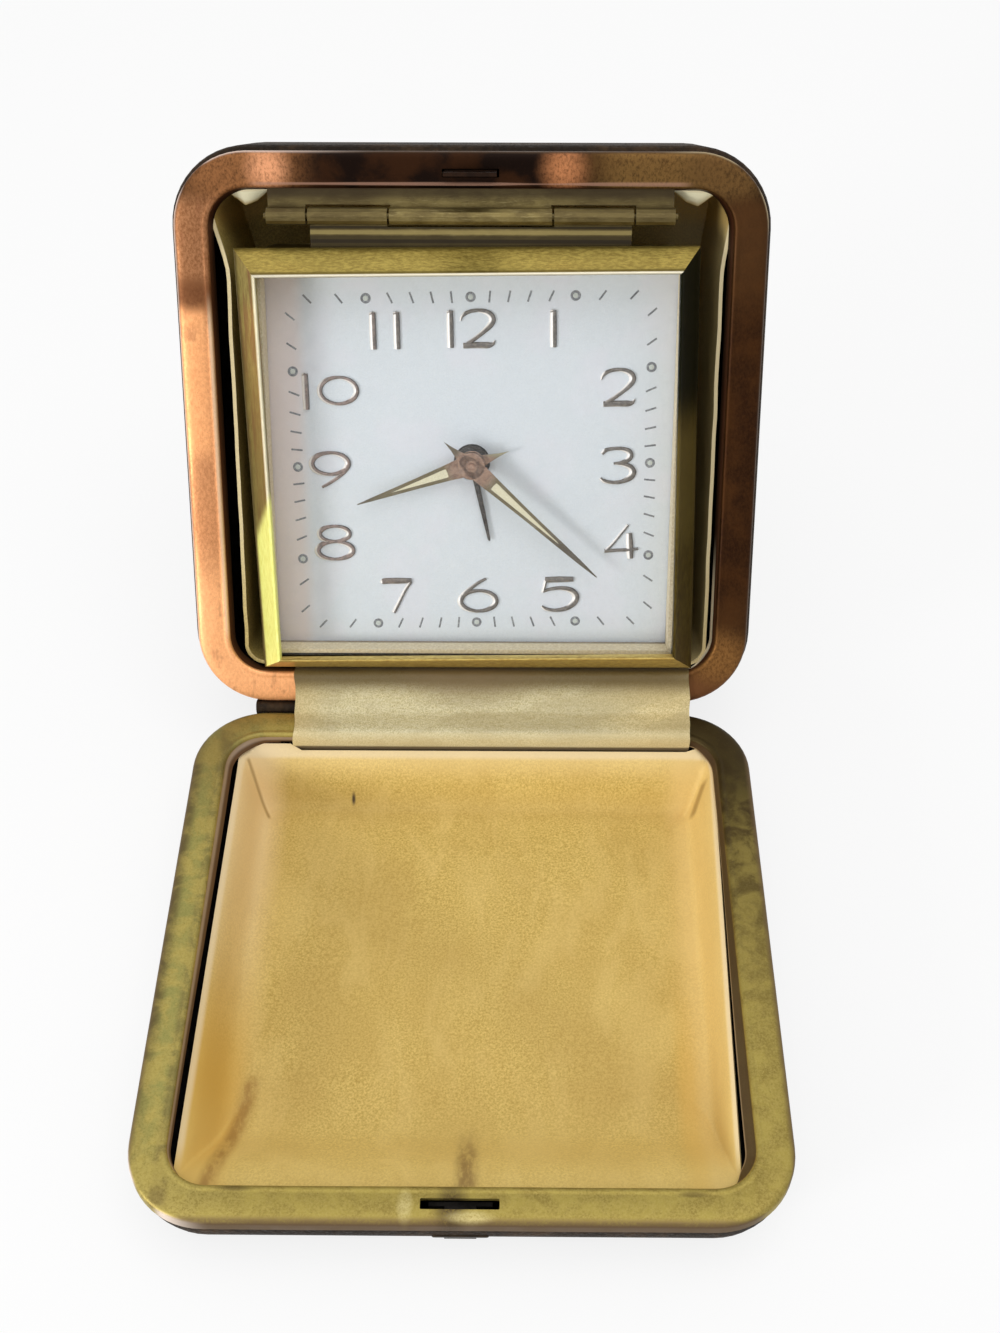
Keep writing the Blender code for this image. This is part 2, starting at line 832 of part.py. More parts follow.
def build_lid():
    build_leather("lid_leather", lid_frame, lid_low, lid_high, lid_depth, lid_edge_radius, 0,
                  [plunger_hole()])
    build_pan("lid_pan", lid_frame, lid_low, lid_high, lid_depth, lid_edge_radius, 0,
              [plunger_hole()])
    rim = swept_frame(lid_low, lid_high, case_corner_radius, rim_section(), corner_steps)
    middle = tongue_inset - case_height
    slot = block((-slot_length / 2, middle - slot_width / 2, -overrun),
                 (slot_length / 2, middle + slot_width / 2, overrun))
    place(cut(rim, [slot]), "lid_rim", "lid_gilt", lid_frame)
    floor = lining_floor_offset - lid_depth
    top = rounded_box((lid_low[0] + lid_lining_side, lid_low[1] + lid_lining_front),
                      (lid_high[0] - lid_lining_side, -lid_lining_rear),
                      lid_lining_corner, box_corner_steps)
    bottom = rounded_box((lid_low[0] + lid_floor_side, lid_low[1] + lid_floor_front),
                         (lid_high[0] - lid_floor_side, -lid_floor_rear),
                         lid_floor_corner, box_corner_steps)
    tray = shell([at_height(top, -lid_lining_drop), at_height(bottom, floor)], lining_card,
                 outwards=True)
    place(tray, "lid_lining", "gold_lining", lid_frame)


def build_back():
    build_leather("back_leather", back_frame, back_low, back_high, back_depth,
                  back_edge_radius, back_bulge)
    build_pan("back_pan", back_frame, back_low, back_high, back_depth, back_edge_radius,
              back_bulge)
    rim = swept_frame(back_low, back_high, case_corner_radius, rim_section(), corner_steps)
    middle = case_height - tongue_inset
    half_width = tongue_width / 2 + seat_gap
    half_thickness = tongue_thickness / 2 + seat_gap
    slit = block((-half_width, middle - half_thickness, -overrun),
                 (half_width, middle + half_thickness, overrun))
    place(cut(rim, [slit]), "back_rim", "back_gilt", back_frame)
    floor = lining_floor_offset - back_depth
    rings = []
    for inset, z in ((0, -back_lining_drop), (back_lining_draft, floor)):
        outline = inset_box(back_low, back_high, back_lining_corner + back_lining_inset,
                            back_lining_inset + inset, box_corner_steps)
        rings.append(at_height(outline, z))
    place(shell(rings, lining_card, outwards=True), "back_lining", "gold_lining", back_frame)


def build_tongue():
    """Catch tongue on the back rim, with a window for the latch and a foot under the land."""
    middle = case_height - tongue_inset
    half = tongue_thickness / 2
    foot_top = -rim_sheet - seat_gap
    foot_bottom = foot_top - tongue_foot_thickness
    blade = block((-tongue_width / 2, middle - half, foot_bottom),
                  (tongue_width / 2, middle + half, tongue_height))
    foot = block((-tongue_width / 2, middle - tongue_foot_inward, foot_bottom),
                 (tongue_width / 2, middle + tongue_foot_outward, foot_top))
    window = block((-window_width / 2, middle - overrun, window_centre - window_height / 2),
                   (window_width / 2, middle + overrun, window_centre + window_height / 2))
    mesh = cut(combine(blade, [foot]), [window])
    place(mesh, "catch_tongue", "lid_gilt", back_frame)


def build_catch():
    """Push button, plunger and latch in the lid's front wall, with their leaf spring."""
    front = -case_height
    tongue_face = front + tongue_inset + tongue_thickness / 2
    nose_tip = tongue_face - latch_bite
    leg_front = tongue_face + latch_travel + seat_gap
    leg_back = leg_front + latch_leg
    plunger_low = -plunger_drop - plunger_height / 2
    plunger_high = -plunger_drop + plunger_height / 2
    nose_top = -latch_nose + latch_nose_thickness / 2
    nose_bottom = -latch_nose - latch_nose_thickness / 2
    nose_half = window_width / 2 - seat_gap
    head = flat([rounded_box((-button_width / 2, -plunger_drop - button_height / 2),
                             (button_width / 2, -plunger_drop + button_height / 2),
                             button_corner, box_corner_steps)], 0, button_proud)
    head.transform(Matrix(((1, 0, 0, 0), (0, 0, -1, front - button_lift), (0, 1, 0, 0),
                           (0, 0, 0, 1))))
    plunger = block((-plunger_width / 2, front - button_lift - button_proud / 2, plunger_low),
                    (plunger_width / 2, leg_back, plunger_high))
    place(combine(head, [plunger]), "catch_button", "lid_gilt", lid_frame)
    leg = block((-latch_width / 2, leg_front, plunger_high + seat_gap),
                (latch_width / 2, leg_back, nose_top))
    nose = block((-nose_half, nose_tip, nose_bottom), (nose_half, leg_back, nose_top))
    place(combine(leg, [nose]), "catch_latch", "steel", lid_frame)
    floor = pan_inner_offset - lid_depth
    spring_top = -latch_nose
    foot_z = floor + seat_gap + spring_thickness / 2
    near = leg_back + seat_gap + spring_thickness / 2
    path = [(near, spring_top), (near, plunger_low), (near + spring_bend, foot_z),
            (near + spring_bend + spring_foot, foot_z)]
    place(ribbon(path, spring_thickness, spring_width), "catch_spring", "steel", lid_frame)


def build_spine():
    """Leather spine outside the rims and satin strip inside them, both across the case hinge."""
    out = seat_gap + spine_thickness / 2
    path = [(out, -spine_reach), (out, -rim_flange / 2)]
    path.append((out, -rim_round))
    path.append(back_to_lid(-out, -rim_round))
    path.append(back_to_lid(-out, -rim_flange))
    path.append(back_to_lid(-out - back_bulge, -spine_reach))
    place(ribbon(path, spine_thickness, spine_width), "spine_leather", "leather", lid_frame)
    height = bead_rise + strip_lift + strip_thickness / 2
    inside = rim_land + seat_gap / 2 + strip_thickness / 2
    corner = rim_land - rim_round
    strip = [back_to_lid(inside, -strip_reach), back_to_lid(inside, -rim_round),
             back_to_lid(corner, height), back_to_lid(bead_inset, height),
             (-bead_inset, height), (-corner, height), (-inside, -rim_round),
             (-inside, -strip_reach)]
    place(ribbon(strip, strip_thickness, strip_width), "hinge_strip", "satin", lid_frame)


# Clock hinge

def knuckle(start, end):
    """Tube round the hinge pin between two places along X."""
    inner = pin_radius + running_gap
    tube = turned([(inner, start), (inner, end), (knuckle_radius, end), (knuckle_radius, start)],
                  sides=12, closed=True)
    return moved(tube, turn=QUARTER_TURN, axis="Y")


def leaf_fingers(spans, far):
    """Sheet from under each knuckle to the leaf, tangent to the knuckles."""
    bottom = -knuckle_radius
    return [block((start + finger_setback, min(0, far), bottom),
                  (end - finger_setback, max(0, far), bottom + leaf_sheet))
            for start, end in spans]


def build_clock_hinge():
    first, second, third = knuckle_ends
    half_gap = seat_gap / 2
    upper_spans = [(-third, -second - half_gap), (-first + half_gap, first - half_gap),
                   (second + half_gap, third)]
    lower_spans = [(-second + half_gap, -first - half_gap), (first + half_gap, second - half_gap)]
    base = -knuckle_radius
    clear = knuckle_radius + seat_gap
    end = third - finger_setback
    upper = block((-end, clear, base), (end, upper_leaf_reach, base + leaf_sheet))
    upper = combine(upper, leaf_fingers(upper_spans, clear + leaf_sheet)
                    + [knuckle(*span) for span in upper_spans])
    notch_half = tongue_width / 2 + seat_gap
    notch = case_height - tongue_inset - tongue_foot_inward - seat_gap - pin_height
    upper = cut(upper, [block((-notch_half, notch, base - overrun),
                              (notch_half, upper_leaf_reach + overrun, overrun))])
    place(upper, "upper_hinge_leaf", "brass", back_frame, (0, pin_height, -pin_drop))
    pin = moved(cylinder(pin_radius, -third - leaf_sheet, third + leaf_sheet, sides=10),
                turn=QUARTER_TURN, axis="Y")
    place(pin, "hinge_pin", "steel", back_frame, (0, pin_height, -pin_drop))
    wall = pin_height - clock_centre - box_top_reach() - seat_gap
    end = second - half_gap - finger_setback
    top = block((-end, -wall, base), (end, -clear, base + leaf_sheet))
    skirt = block((-end, -wall, base - lower_leaf_skirt),
                  (end, -wall + leaf_sheet, base + leaf_sheet))
    lower = combine(top, [skirt] + leaf_fingers(lower_spans, -clear - leaf_sheet)
                    + [knuckle(*span) for span in lower_spans])
    place(lower, "lower_hinge_leaf", "brass", clock_hinge_axis)
    build_rivets()


def build_rivets():
    """Rivets that hold the upper leaf to the underside of the rim's land."""
    seat = case_height - rim_land + leaf_seat / 2
    leaf_top = -pin_drop - knuckle_radius + leaf_sheet
    for x, side in ((-rivet_spacing, "left"), (rivet_spacing, "right")):
        rivet = cylinder(rivet_radius, leaf_top + seat_gap / 3, -rim_sheet - seat_gap / 3,
                         sides=10)
        place(rivet, "hinge_rivet_" + side, "brass", back_frame, (x, seat, 0))


# Bezel, crystal, dial and box

def box_top_reach():
    """From the middle of the dial to the outside of the box's top wall."""
    return bezel_half_height - bezel_sheet - seat_gap


def bezel_corners(inset):
    return ((-bezel_half_width + inset, -bezel_half_height + inset),
            (bezel_half_width - inset, bezel_half_height - inset))


def build_bezel():
    slope = bezel_rise / bezel_chamfer
    lip = bezel_chamfer + bezel_lip
    peak = bezel_face + bezel_rise
    slant = bezel_sheet * math.hypot(bezel_rise, bezel_chamfer) / bezel_chamfer
    section = [(0, bezel_face - bezel_skirt), (0, bezel_face), (bezel_chamfer, peak), (lip, peak),
               (lip, peak - bezel_lip_depth), (lip - bezel_sheet, peak - bezel_lip_depth),
               (lip - bezel_sheet, bezel_face + (lip - bezel_sheet) * slope - slant),
               (bezel_sheet, bezel_face + bezel_sheet * slope - slant),
               (bezel_sheet, bezel_face - bezel_skirt)]
    low, high = bezel_corners(0)
    rings = [at_height([(low[0] + inset, low[1] + inset), (high[0] - inset, low[1] + inset),
                        (high[0] - inset, high[1] - inset), (low[0] + inset, high[1] - inset)], z)
             for inset, z in section]
    place(lofted(rings, around=True), "bezel", "brass", clock_frame, smooth=0)


def crystal_top():
    return bezel_face + bezel_rise - bezel_lip_depth - seat_gap


def build_crystal():
    edge = bezel_chamfer + bezel_lip - crystal_overlap
    low, high = bezel_corners(edge)
    top = crystal_top()
    place(block((*low, top - crystal_thickness), (*high, top)), "crystal", "crystal",
          clock_frame, smooth=0)


def build_surround():
    """Cream frame between the crystal and the dial."""
    edge = bezel_chamfer + bezel_lip
    low, high = bezel_corners(edge - surround_wall)
    top = crystal_top() - crystal_thickness - seat_gap
    bottom = -dial_drop + seat_gap
    rings = []
    for inset, z in ((0, bottom), (0, top), (surround_wall, top), (surround_wall, bottom)):
        rings.append(at_height([(low[0] + inset, low[1] + inset), (high[0] - inset, low[1] + inset),
                                (high[0] - inset, high[1] - inset),
                                (low[0] + inset, high[1] - inset)], z))
    place(lofted(rings, around=True), "dial_surround", "cream", clock_frame, smooth=0)


def box_extent(drop):
    """Corners of the outside of the box at a depth behind the rim plane."""
    share = (drop - box_front_drop) / (box_depth - box_front_drop)
    half_width = bezel_half_width - bezel_sheet - seat_gap - box_side_draft * share
    low = -box_top_reach() + box_bottom_draft * share
    return (-half_width, low), (half_width, box_top_reach())


def build_box():
    rings = []
    for drop, inset in ((box_front_drop, 0), (box_depth, 0), (box_depth, box_wall),
                        (box_front_drop, box_wall)):
        low, high = box_extent(drop)
        rings.append(at_height(inset_box(low, high, box_corner, inset, box_corner_steps), -drop))
    place(lofted(rings, around=True), "clock_box", "brass", clock_frame)


def build_dial():
    low, high = box_extent(dial_drop + dial_sheet)
    inset = box_wall + dial_margin
    outline = [(low[0] + inset, low[1] + inset), (high[0] - inset, low[1] + inset),
               (high[0] - inset, high[1] - inset), (low[0] + inset, high[1] - inset)]
    plate = flat([outline, circle(dial_hole, sides=24)], -dial_drop - dial_sheet, -dial_drop)
    feet = [cylinder(dial_foot_radius, seat_gap - front_plate_front, -dial_drop - dial_sheet / 2,
                     (x, y), sides=10)
            for x in (-dial_foot_x, dial_foot_x) for y in (-dial_foot_y, dial_foot_y)]
    place(combine(plate, feet), "dial", "dial_white", clock_frame, smooth=0)


def cover_holes():
    """Every arbor that passes the back cover, as a place and a radius."""
    wide = cover_hole_margin
    return [(barrel_at, key_arbor_radius + wide), (alarm_barrel_at, key_arbor_radius + wide),
            (centre_at, set_shaft_radius + wide), (alarm_set_at, set_shaft_radius + wide),
            (stop_at, stop_shaft_radius + pivot_gap + running_gap)]


def screw_places():
    return [(x, y) for x in (-cover_screw_x, cover_screw_x)
            for y in (-cover_screw_y, cover_screw_y)]


def build_cover():
    low, high = box_extent(box_depth)
    outline = rounded_box(low, high, box_corner, box_corner_steps)
    holes = [circle(radius, at) for at, radius in cover_holes()]
    holes += [circle(screw_radius + running_gap, at, sides=10) for at in screw_places()]
    holes.append(regulator_slot())
    plate = flat([outline] + holes, -back_cover_drop - cover_thickness, -back_cover_drop)
    place(plate, "back_cover", "brass", clock_frame, smooth=0)


def regulator_slot():
    """Arc-shaped slot for the regulator's pin."""
    half = regulator_pin + seat_gap
    swing = regulator_swing + half / regulator_reach
    steps = 6
    angles = [regulator_direction - swing + 2 * swing * i / steps for i in range(steps + 1)]
    outer = [from_polar(balance_at, regulator_reach + half, angle) for angle in angles]
    inner = [from_polar(balance_at, regulator_reach - half, angle) for angle in angles]
    return outer + inner[::-1]


def cover_post(at):
    """Riveted post of the back plate, bored for a cover screw from behind."""
    bottom = -back_cover_drop + seat_gap
    bore = screw_radius + running_gap
    top = -back_plate_drop - plate_thickness / 2
    end = -back_plate_rear - cover_thickness
    post = turned([(0, top), (post_radius, top), (post_radius, bottom), (bore, bottom),
                   (bore, end), (0, end)], sides=8)
    return moved(post, (*at, 0))


def build_cover_screws():
    outside = -back_cover_drop - cover_thickness - running_gap
    tip = -back_plate_rear - cover_thickness - running_gap
    profile = [(0, tip), (screw_radius, tip), (screw_radius, outside),
               (screw_head_radius, outside), (screw_head_radius, outside - screw_head_height),
               (0, outside - screw_head_height)]
    for number, at in enumerate(screw_places(), 1):
        place(turned(profile, sides=8), "cover_screw_" + str(number), "steel", clock_frame,
              pivoted(at))


# Movement

def pivot_places():
    """Arbors that run in both plates, as a place and a pivot radius."""
    return [(third_at, pivot_radius), (fourth_at, pivot_radius), (escape_at, pivot_radius),
            (lever_at, pivot_radius), (balance_at, pivot_radius), (alarm_escape_at, pivot_radius),
            (hammer_at, pivot_radius), (barrel_at, key_arbor_radius),
            (alarm_barrel_at, key_arbor_radius), (centre_at, hollow_arbor_radius),
            (alarm_set_at, set_shaft_radius)]


def plate_outline():
    return rounded_box((-plate_half_width, -plate_half_height),
                       (plate_half_width, plate_half_height), plate_corner, 2)


def build_plates():
    holes = [circle(radius + running_gap, at, sides=8) for at, radius in pivot_places()]
    front = flat([plate_outline()] + holes, -front_plate_drop, -front_plate_front)
    stud = cylinder(stud_radius, -front_plate_drop + plate_thickness / 2,
                    -hour_wheel_drop + motion_sheet, minute_wheel_at, sides=10)
    place(combine(front, [stud]), "front_plate", "brass", clock_frame, smooth=0)
    holes.append(circle(stop_shaft_radius + running_gap + pivot_gap, stop_at))
    back = flat([plate_outline()] + holes[:4] + holes[5:], -back_plate_rear, -back_plate_drop)
    boss = cylinder(regulator_boss, -regulator_drop - regulator_sheet / 2,
                    -back_plate_drop - plate_thickness / 2, balance_at, sides=10)
    seat = cylinder(pivot_radius + running_gap, -back_plate_drop - plate_thickness,
                    -back_plate_drop + overrun, balance_at, sides=10)
    pillars = [cylinder(pillar_radius, -back_plate_drop - plate_thickness / 2,
                        -front_plate_drop - seat_gap / 3, (x, y), sides=8)
               for x in (-pillar_x, pillar_x) for y in (-pillar_y, pillar_y)]
    posts = [cover_post(at) for at in screw_places()]
    back = cut(combine(back, [boss] + pillars + posts), [seat])
    place(back, "back_plate", "brass", clock_frame)


def pivoted(at):
    """Location of an arbor's own origin in the clock's frame."""
    return (at[0], at[1], 0)


def train_arbor():
    return arbor(arbor_radius, pivot_radius, -back_plate_rear, -front_plate_front)


def wheel_on_arbor(name, at, wheel, pinion, shaft):
    """Wheel and pinion fixed on one arbor, turning about their own origin."""
    return place(combine(wheel, [pinion, shaft]), name, "brass", clock_frame, pivoted(at))


def pinion_mesh(teeth, module, phase, drop):
    return flat([gear_outline(teeth, module, phase, leaf_addendum_share)],
                *layer(drop, pinion_length))


# Each wheel's phase follows from the one before it, so the train is in mesh at rest
centre_phase = 0.0
centre_pinion_phase = 0.0
barrel_phase = mesh_phase(barrel_direction, centre_pinion_teeth, centre_pinion_phase, barrel_teeth)
third_pinion_phase = mesh_phase(third_direction, centre_teeth, centre_phase, third_pinion_teeth)
third_phase = 0.0
fourth_pinion_phase = mesh_phase(fourth_direction, third_teeth, third_phase, fourth_pinion_teeth)
fourth_phase = 0.0
escape_pinion_phase = mesh_phase(escape_direction, fourth_teeth, fourth_phase, escape_pinion_teeth)
cannon_phase = 0.0
minute_wheel_phase = mesh_phase(minute_wheel_direction, cannon_teeth, cannon_phase,
                                minute_wheel_teeth)
minute_pinion_phase = 0.0
hour_wheel_phase = mesh_phase(minute_wheel_direction + math.pi, minute_pinion_teeth,
                              minute_pinion_phase, hour_wheel_teeth)
alarm_wheel_phase = 0.0
alarm_pinion_phase = mesh_phase(alarm_set_direction, alarm_wheel_teeth, alarm_wheel_phase,
                                alarm_pinion_teeth)
alarm_barrel_phase = 0.0
alarm_escape_phase = mesh_phase(alarm_escape_direction, alarm_barrel_teeth, alarm_barrel_phase,
                                alarm_escape_pinion_teeth)


def build_train():
    centre = flat([gear_outline(centre_teeth, centre_module, centre_phase)],
                  *layer(centre_wheel_drop, wheel_thickness))
    pinion = pinion_mesh(centre_pinion_teeth, barrel_module, centre_pinion_phase,
                         great_wheel_drop)
    pipe = cylinder(hollow_arbor_radius, -back_plate_rear, -front_plate_front, sides=14)
    bore = cylinder(set_shaft_radius + running_gap, -back_plate_rear - overrun,
                    -front_plate_front + overrun, sides=14)
    wheel = cut(combine(centre, [pinion, pipe]), [bore])
    place(wheel, "centre_wheel", "brass", clock_frame, pivoted(centre_at))
    wheel_on_arbor("third_wheel", third_at,
                   flat([gear_outline(third_teeth, third_module, third_phase)],
                        *layer(third_wheel_drop, wheel_thickness)),
                   pinion_mesh(third_pinion_teeth, centre_module, third_pinion_phase,
                               centre_wheel_drop), train_arbor())
    wheel_on_arbor("fourth_wheel", fourth_at,
                   flat([gear_outline(fourth_teeth, fourth_module, fourth_phase)],
                        *layer(fourth_wheel_drop, wheel_thickness)),
                   pinion_mesh(fourth_pinion_teeth, third_module, fourth_pinion_phase,
                               third_wheel_drop + running_gap), train_arbor())
    wheel_on_arbor("escape_wheel", escape_at,
                   flat([escape_outline(escape_teeth, escape_radius, escape_tooth)],
                        *layer(escape_wheel_drop, wheel_thickness)),
                   pinion_mesh(escape_pinion_teeth, fourth_module, escape_pinion_phase,
                               fourth_wheel_drop), train_arbor())


def build_barrel(name, at, teeth, phase):
    """Drum with a great wheel round its front, free on the winding arbor."""
    low, high = layer(great_wheel_drop, barrel_wheel_thickness)
    wheel = flat([gear_outline(teeth, barrel_module, phase)], low, high)
    drum = teeth * barrel_module / 2 - dedendum_share * barrel_module - seat_gap
    body = cylinder(drum, low - drum_height, low + barrel_wheel_thickness / 2, sides=20)
    bore = cylinder(key_arbor_radius + running_gap, low - drum_height - overrun, high + overrun,
                    sides=10)
    place(cut(combine(wheel, [body]), [bore]), name, "brass", clock_frame, pivoted(at))


def build_key(name, at):
    """Winding arbor through both plates and the cover, with a wing key on its end."""
    top = -front_plate_front
    hub_bottom = -knob_top - key_hub_height
    stem = cylinder(key_arbor_radius, hub_bottom, top, sides=10)
    hub = cylinder(key_hub_radius, hub_bottom, -knob_top, sides=14)
    wing_top = -knob_top - key_hub_height / 2
    wing_shares = ((0.38, 0.0), (0.5, 0.25), (0.5, 0.75), (0.38, 1.0), (0.12, 0.7))
    right = [(key_span * across, wing_top - key_wing_height * down) for across, down in wing_shares]
    outline = right + [(-x, z) for x, z in reversed(right)]
    wing = flat([outline], -key_wing_thickness / 2, key_wing_thickness / 2)
    wing.transform(Matrix.Rotation(QUARTER_TURN, 4, "X"))
    place(combine(stem, [hub, wing]), name, "brass", clock_frame, pivoted(at))


def knob_mesh():
    """Fluted finger knob behind the back cover."""
    outline = []
    for i in range(2 * knob_flutes):
        radius = knob_radius - (knob_flute_depth if i % 2 else 0)
        angle = math.pi * i / knob_flutes
        outline.append((radius * math.cos(angle), radius * math.sin(angle)))
    return flat([outline], -knob_top - knob_height, -knob_top)


def pallet_arms(wheel_radius, distance, direction, low, high):
    """Two arms that reach round an escape wheel, from the arbor of its lever."""
    to_wheel = Vector(from_polar((0, 0), distance, direction + math.pi))
    arms = []
    for side in (-1, 1):
        tip = to_wheel + Vector(from_polar((0, 0), wheel_radius + pallet_gap,
                                           direction + side * pallet_spread))
        across = Vector((-tip.y, tip.x)).normalized() * pallet_half_width
        arms.append(flat([[tuple(-across), tuple(tip - across), tuple(tip + across),
                           tuple(across)]], low, high))
    return arms


def build_lever():
    """Pallet lever: an anchor that reaches round the escape wheel, and a fork to the balance."""
    low, high = layer(escape_wheel_drop, wheel_thickness)
    arms = pallet_arms(escape_radius, lever_distance, lever_direction, low, high)
    reach = Vector(from_polar((0, 0), balance_distance - 2 * arbor_radius - seat_gap,
                              balance_direction))
    across = Vector((-reach.y, reach.x)).normalized() * arbor_radius
    fork = flat([[tuple(-across), tuple(reach - across * fork_tip_share),
                  tuple(reach + across * fork_tip_share),
                  tuple(across)]], low, high)
    hub = cylinder(2 * arbor_radius, low, high, sides=10)
    mesh = combine(hub, arms + [fork, train_arbor()])
    place(mesh, "pallet_lever", "steel", clock_frame, pivoted(lever_at))


def build_balance():
    low, high = layer(balance_drop, wheel_thickness)
    rim = flat([circle(balance_radius, sides=20), circle(balance_radius - balance_rim, sides=20)],
               low, high)
    reach = balance_radius - balance_rim / 2
    spoke = block((-reach, -balance_spoke / 2, low), (reach, balance_spoke / 2, high))
    hub = cylinder(2 * arbor_radius, low, high, sides=10)
    mesh = combine(rim, [spoke, hub, train_arbor()])
    place(mesh, "balance_wheel", "brass", clock_frame, pivoted(balance_at))


def build_alarm_works():
    build_barrel("alarm_barrel", alarm_barrel_at, alarm_barrel_teeth, alarm_barrel_phase)
    wheel_on_arbor("alarm_escape_wheel", alarm_escape_at,
                   flat([escape_outline(alarm_escape_teeth, alarm_escape_radius,
                                        alarm_escape_tooth)],
                        *layer(alarm_escape_drop, wheel_thickness)),
                   pinion_mesh(alarm_escape_pinion_teeth, barrel_module, alarm_escape_phase,
                               great_wheel_drop), train_arbor())
    low, high = layer(alarm_escape_drop, wheel_thickness)
    pieces = pallet_arms(alarm_escape_radius, hammer_distance, hammer_direction, low, high)
    end = Vector(from_polar((0, 0), hammer_arm, hammer_rest_angle))
    across = Vector((-end.y, end.x)).normalized() * hammer_arm_width / 2
    pieces.append(flat([[tuple(-across), tuple(end - across), tuple(end + across),
                         tuple(across)]], low, high))
    pieces.append(cylinder(hammer_head / 2, low - hammer_head / 2, high + hammer_head / 4,
                           tuple(end), sides=10))
    pieces.append(cylinder(2 * arbor_radius, low, high, sides=10))
    place(combine(train_arbor(), pieces), "alarm_hammer", "steel", clock_frame,
          pivoted(hammer_at))


# Motion work and hands

def hand_outline(length, width, angle):
    """Pointed hand with a short pointed tail, along a direction."""
    shares = ((-0.2, 0.0), (-0.1, 0.3), (0.1, 0.34), (0.22, 0.5), (0.62, 0.28), (1.0, 0.02))
    right = [(length * along, width * across) for along, across in shares]
    left = [(x, -y) for x, y in reversed(right[1:])]
    turn = Matrix.Rotation(angle, 2)
    return [tuple(turn @ Vector(point)) for point in right + left]


def hand_window(length, width, angle):
    """Long opening in a skeleton hand."""
    shares = ((0.2, 0.0), (0.28, 0.3), (0.6, 0.16), (0.72, 0.0))
    right = [(length * along, width * across) for along, across in shares]
    left = [(x, -y) for x, y in reversed(right[1:-1])]
    turn = Matrix.Rotation(angle, 2)
    return [tuple(turn @ Vector(point)) for point in right + left]


def build_minute_group():
    """Set shaft with the cannon pinion, its hand in front and its knob behind."""
    cannon_low, cannon_high = layer(minute_wheel_drop, 2 * motion_sheet)
    hand_low = minute_hand_rise
    hand_high = minute_hand_rise + hand_sheet
    shaft = turned([(0, hand_high + hand_sheet), (set_shaft_radius, hand_high + hand_sheet),
                    (set_shaft_radius, hand_low - hand_sheet),
                    (cannon_radius, hand_low - hand_sheet), (cannon_radius, cannon_low),
                    (set_shaft_radius, cannon_low), (set_shaft_radius, -knob_top - knob_height / 2),
                    (0, -knob_top - knob_height / 2)], sides=10)
    cannon = flat([gear_outline(cannon_teeth, motion_module, cannon_phase)], cannon_low,
                  cannon_high)
    place(combine(shaft, [cannon]), "set_shaft", "steel", clock_frame)
    knob = cut(knob_mesh(), [cylinder(set_shaft_radius + running_gap,
                                      -knob_top - knob_height / 2 - running_gap,
                                      overrun - knob_top, sides=10)])
    place(knob, "time_set_knob", "brass", clock_frame)
    hand = flat([hand_outline(minute_hand_length, minute_hand_width, minute_hand_angle),
                 hand_window(minute_hand_length, minute_hand_width, minute_hand_angle)],
                hand_low, hand_high)
    hub = cylinder(hand_hub_radius, hand_low, hand_high, sides=24)
    bore = cylinder(set_shaft_radius + running_gap, hand_low - overrun, hand_high + overrun,
                    sides=10)
    place(cut(combine(hand, [hub]), [bore]), "minute_hand", "rose_gilt", clock_frame, smooth=0)


def build_motion_work():
    low, high = layer(minute_wheel_drop, motion_sheet)
    wheel = flat([gear_outline(minute_wheel_teeth, motion_module, minute_wheel_phase)], low, high)
    pinion = flat([gear_outline(minute_pinion_teeth, hour_module, minute_pinion_phase)],
                  low + motion_sheet / 2, -hour_wheel_drop + motion_sheet)
    bore = cylinder(stud_radius + running_gap, low - overrun, overrun - hour_wheel_drop, sides=10)
    place(cut(combine(wheel, [pinion]), [bore]), "minute_wheel", "brass", clock_frame,
          pivoted(minute_wheel_at))
    inner = cannon_radius + running_gap
    outer = inner + hour_pipe_wall
    low, high = layer(hour_wheel_drop, motion_sheet)
    wheel = flat([gear_outline(hour_wheel_teeth, hour_module, hour_wheel_phase)], low, high)
    pipe = cylinder(outer, low, -hour_hand_drop, sides=14)
    bore = cylinder(inner, low - overrun, overrun, sides=14)
    place(cut(combine(wheel, [pipe]), [bore]), "hour_wheel", "brass", clock_frame)
    hand = flat([hand_outline(hour_hand_length, hour_hand_width, hour_hand_angle),
                 hand_window(hour_hand_length, hour_hand_width, hour_hand_angle)],
                -hour_hand_drop - hand_sheet, -hour_hand_drop)
    hub = cylinder(hand_hub_radius, -hour_hand_drop - hand_sheet, -hour_hand_drop, sides=24)
    seat = cylinder(outer + running_gap, -hour_hand_drop - overrun, overrun - hour_hand_drop,
                    sides=14)
    place(cut(combine(hand, [hub]), [seat]), "hour_hand", "rose_gilt", clock_frame, smooth=0)


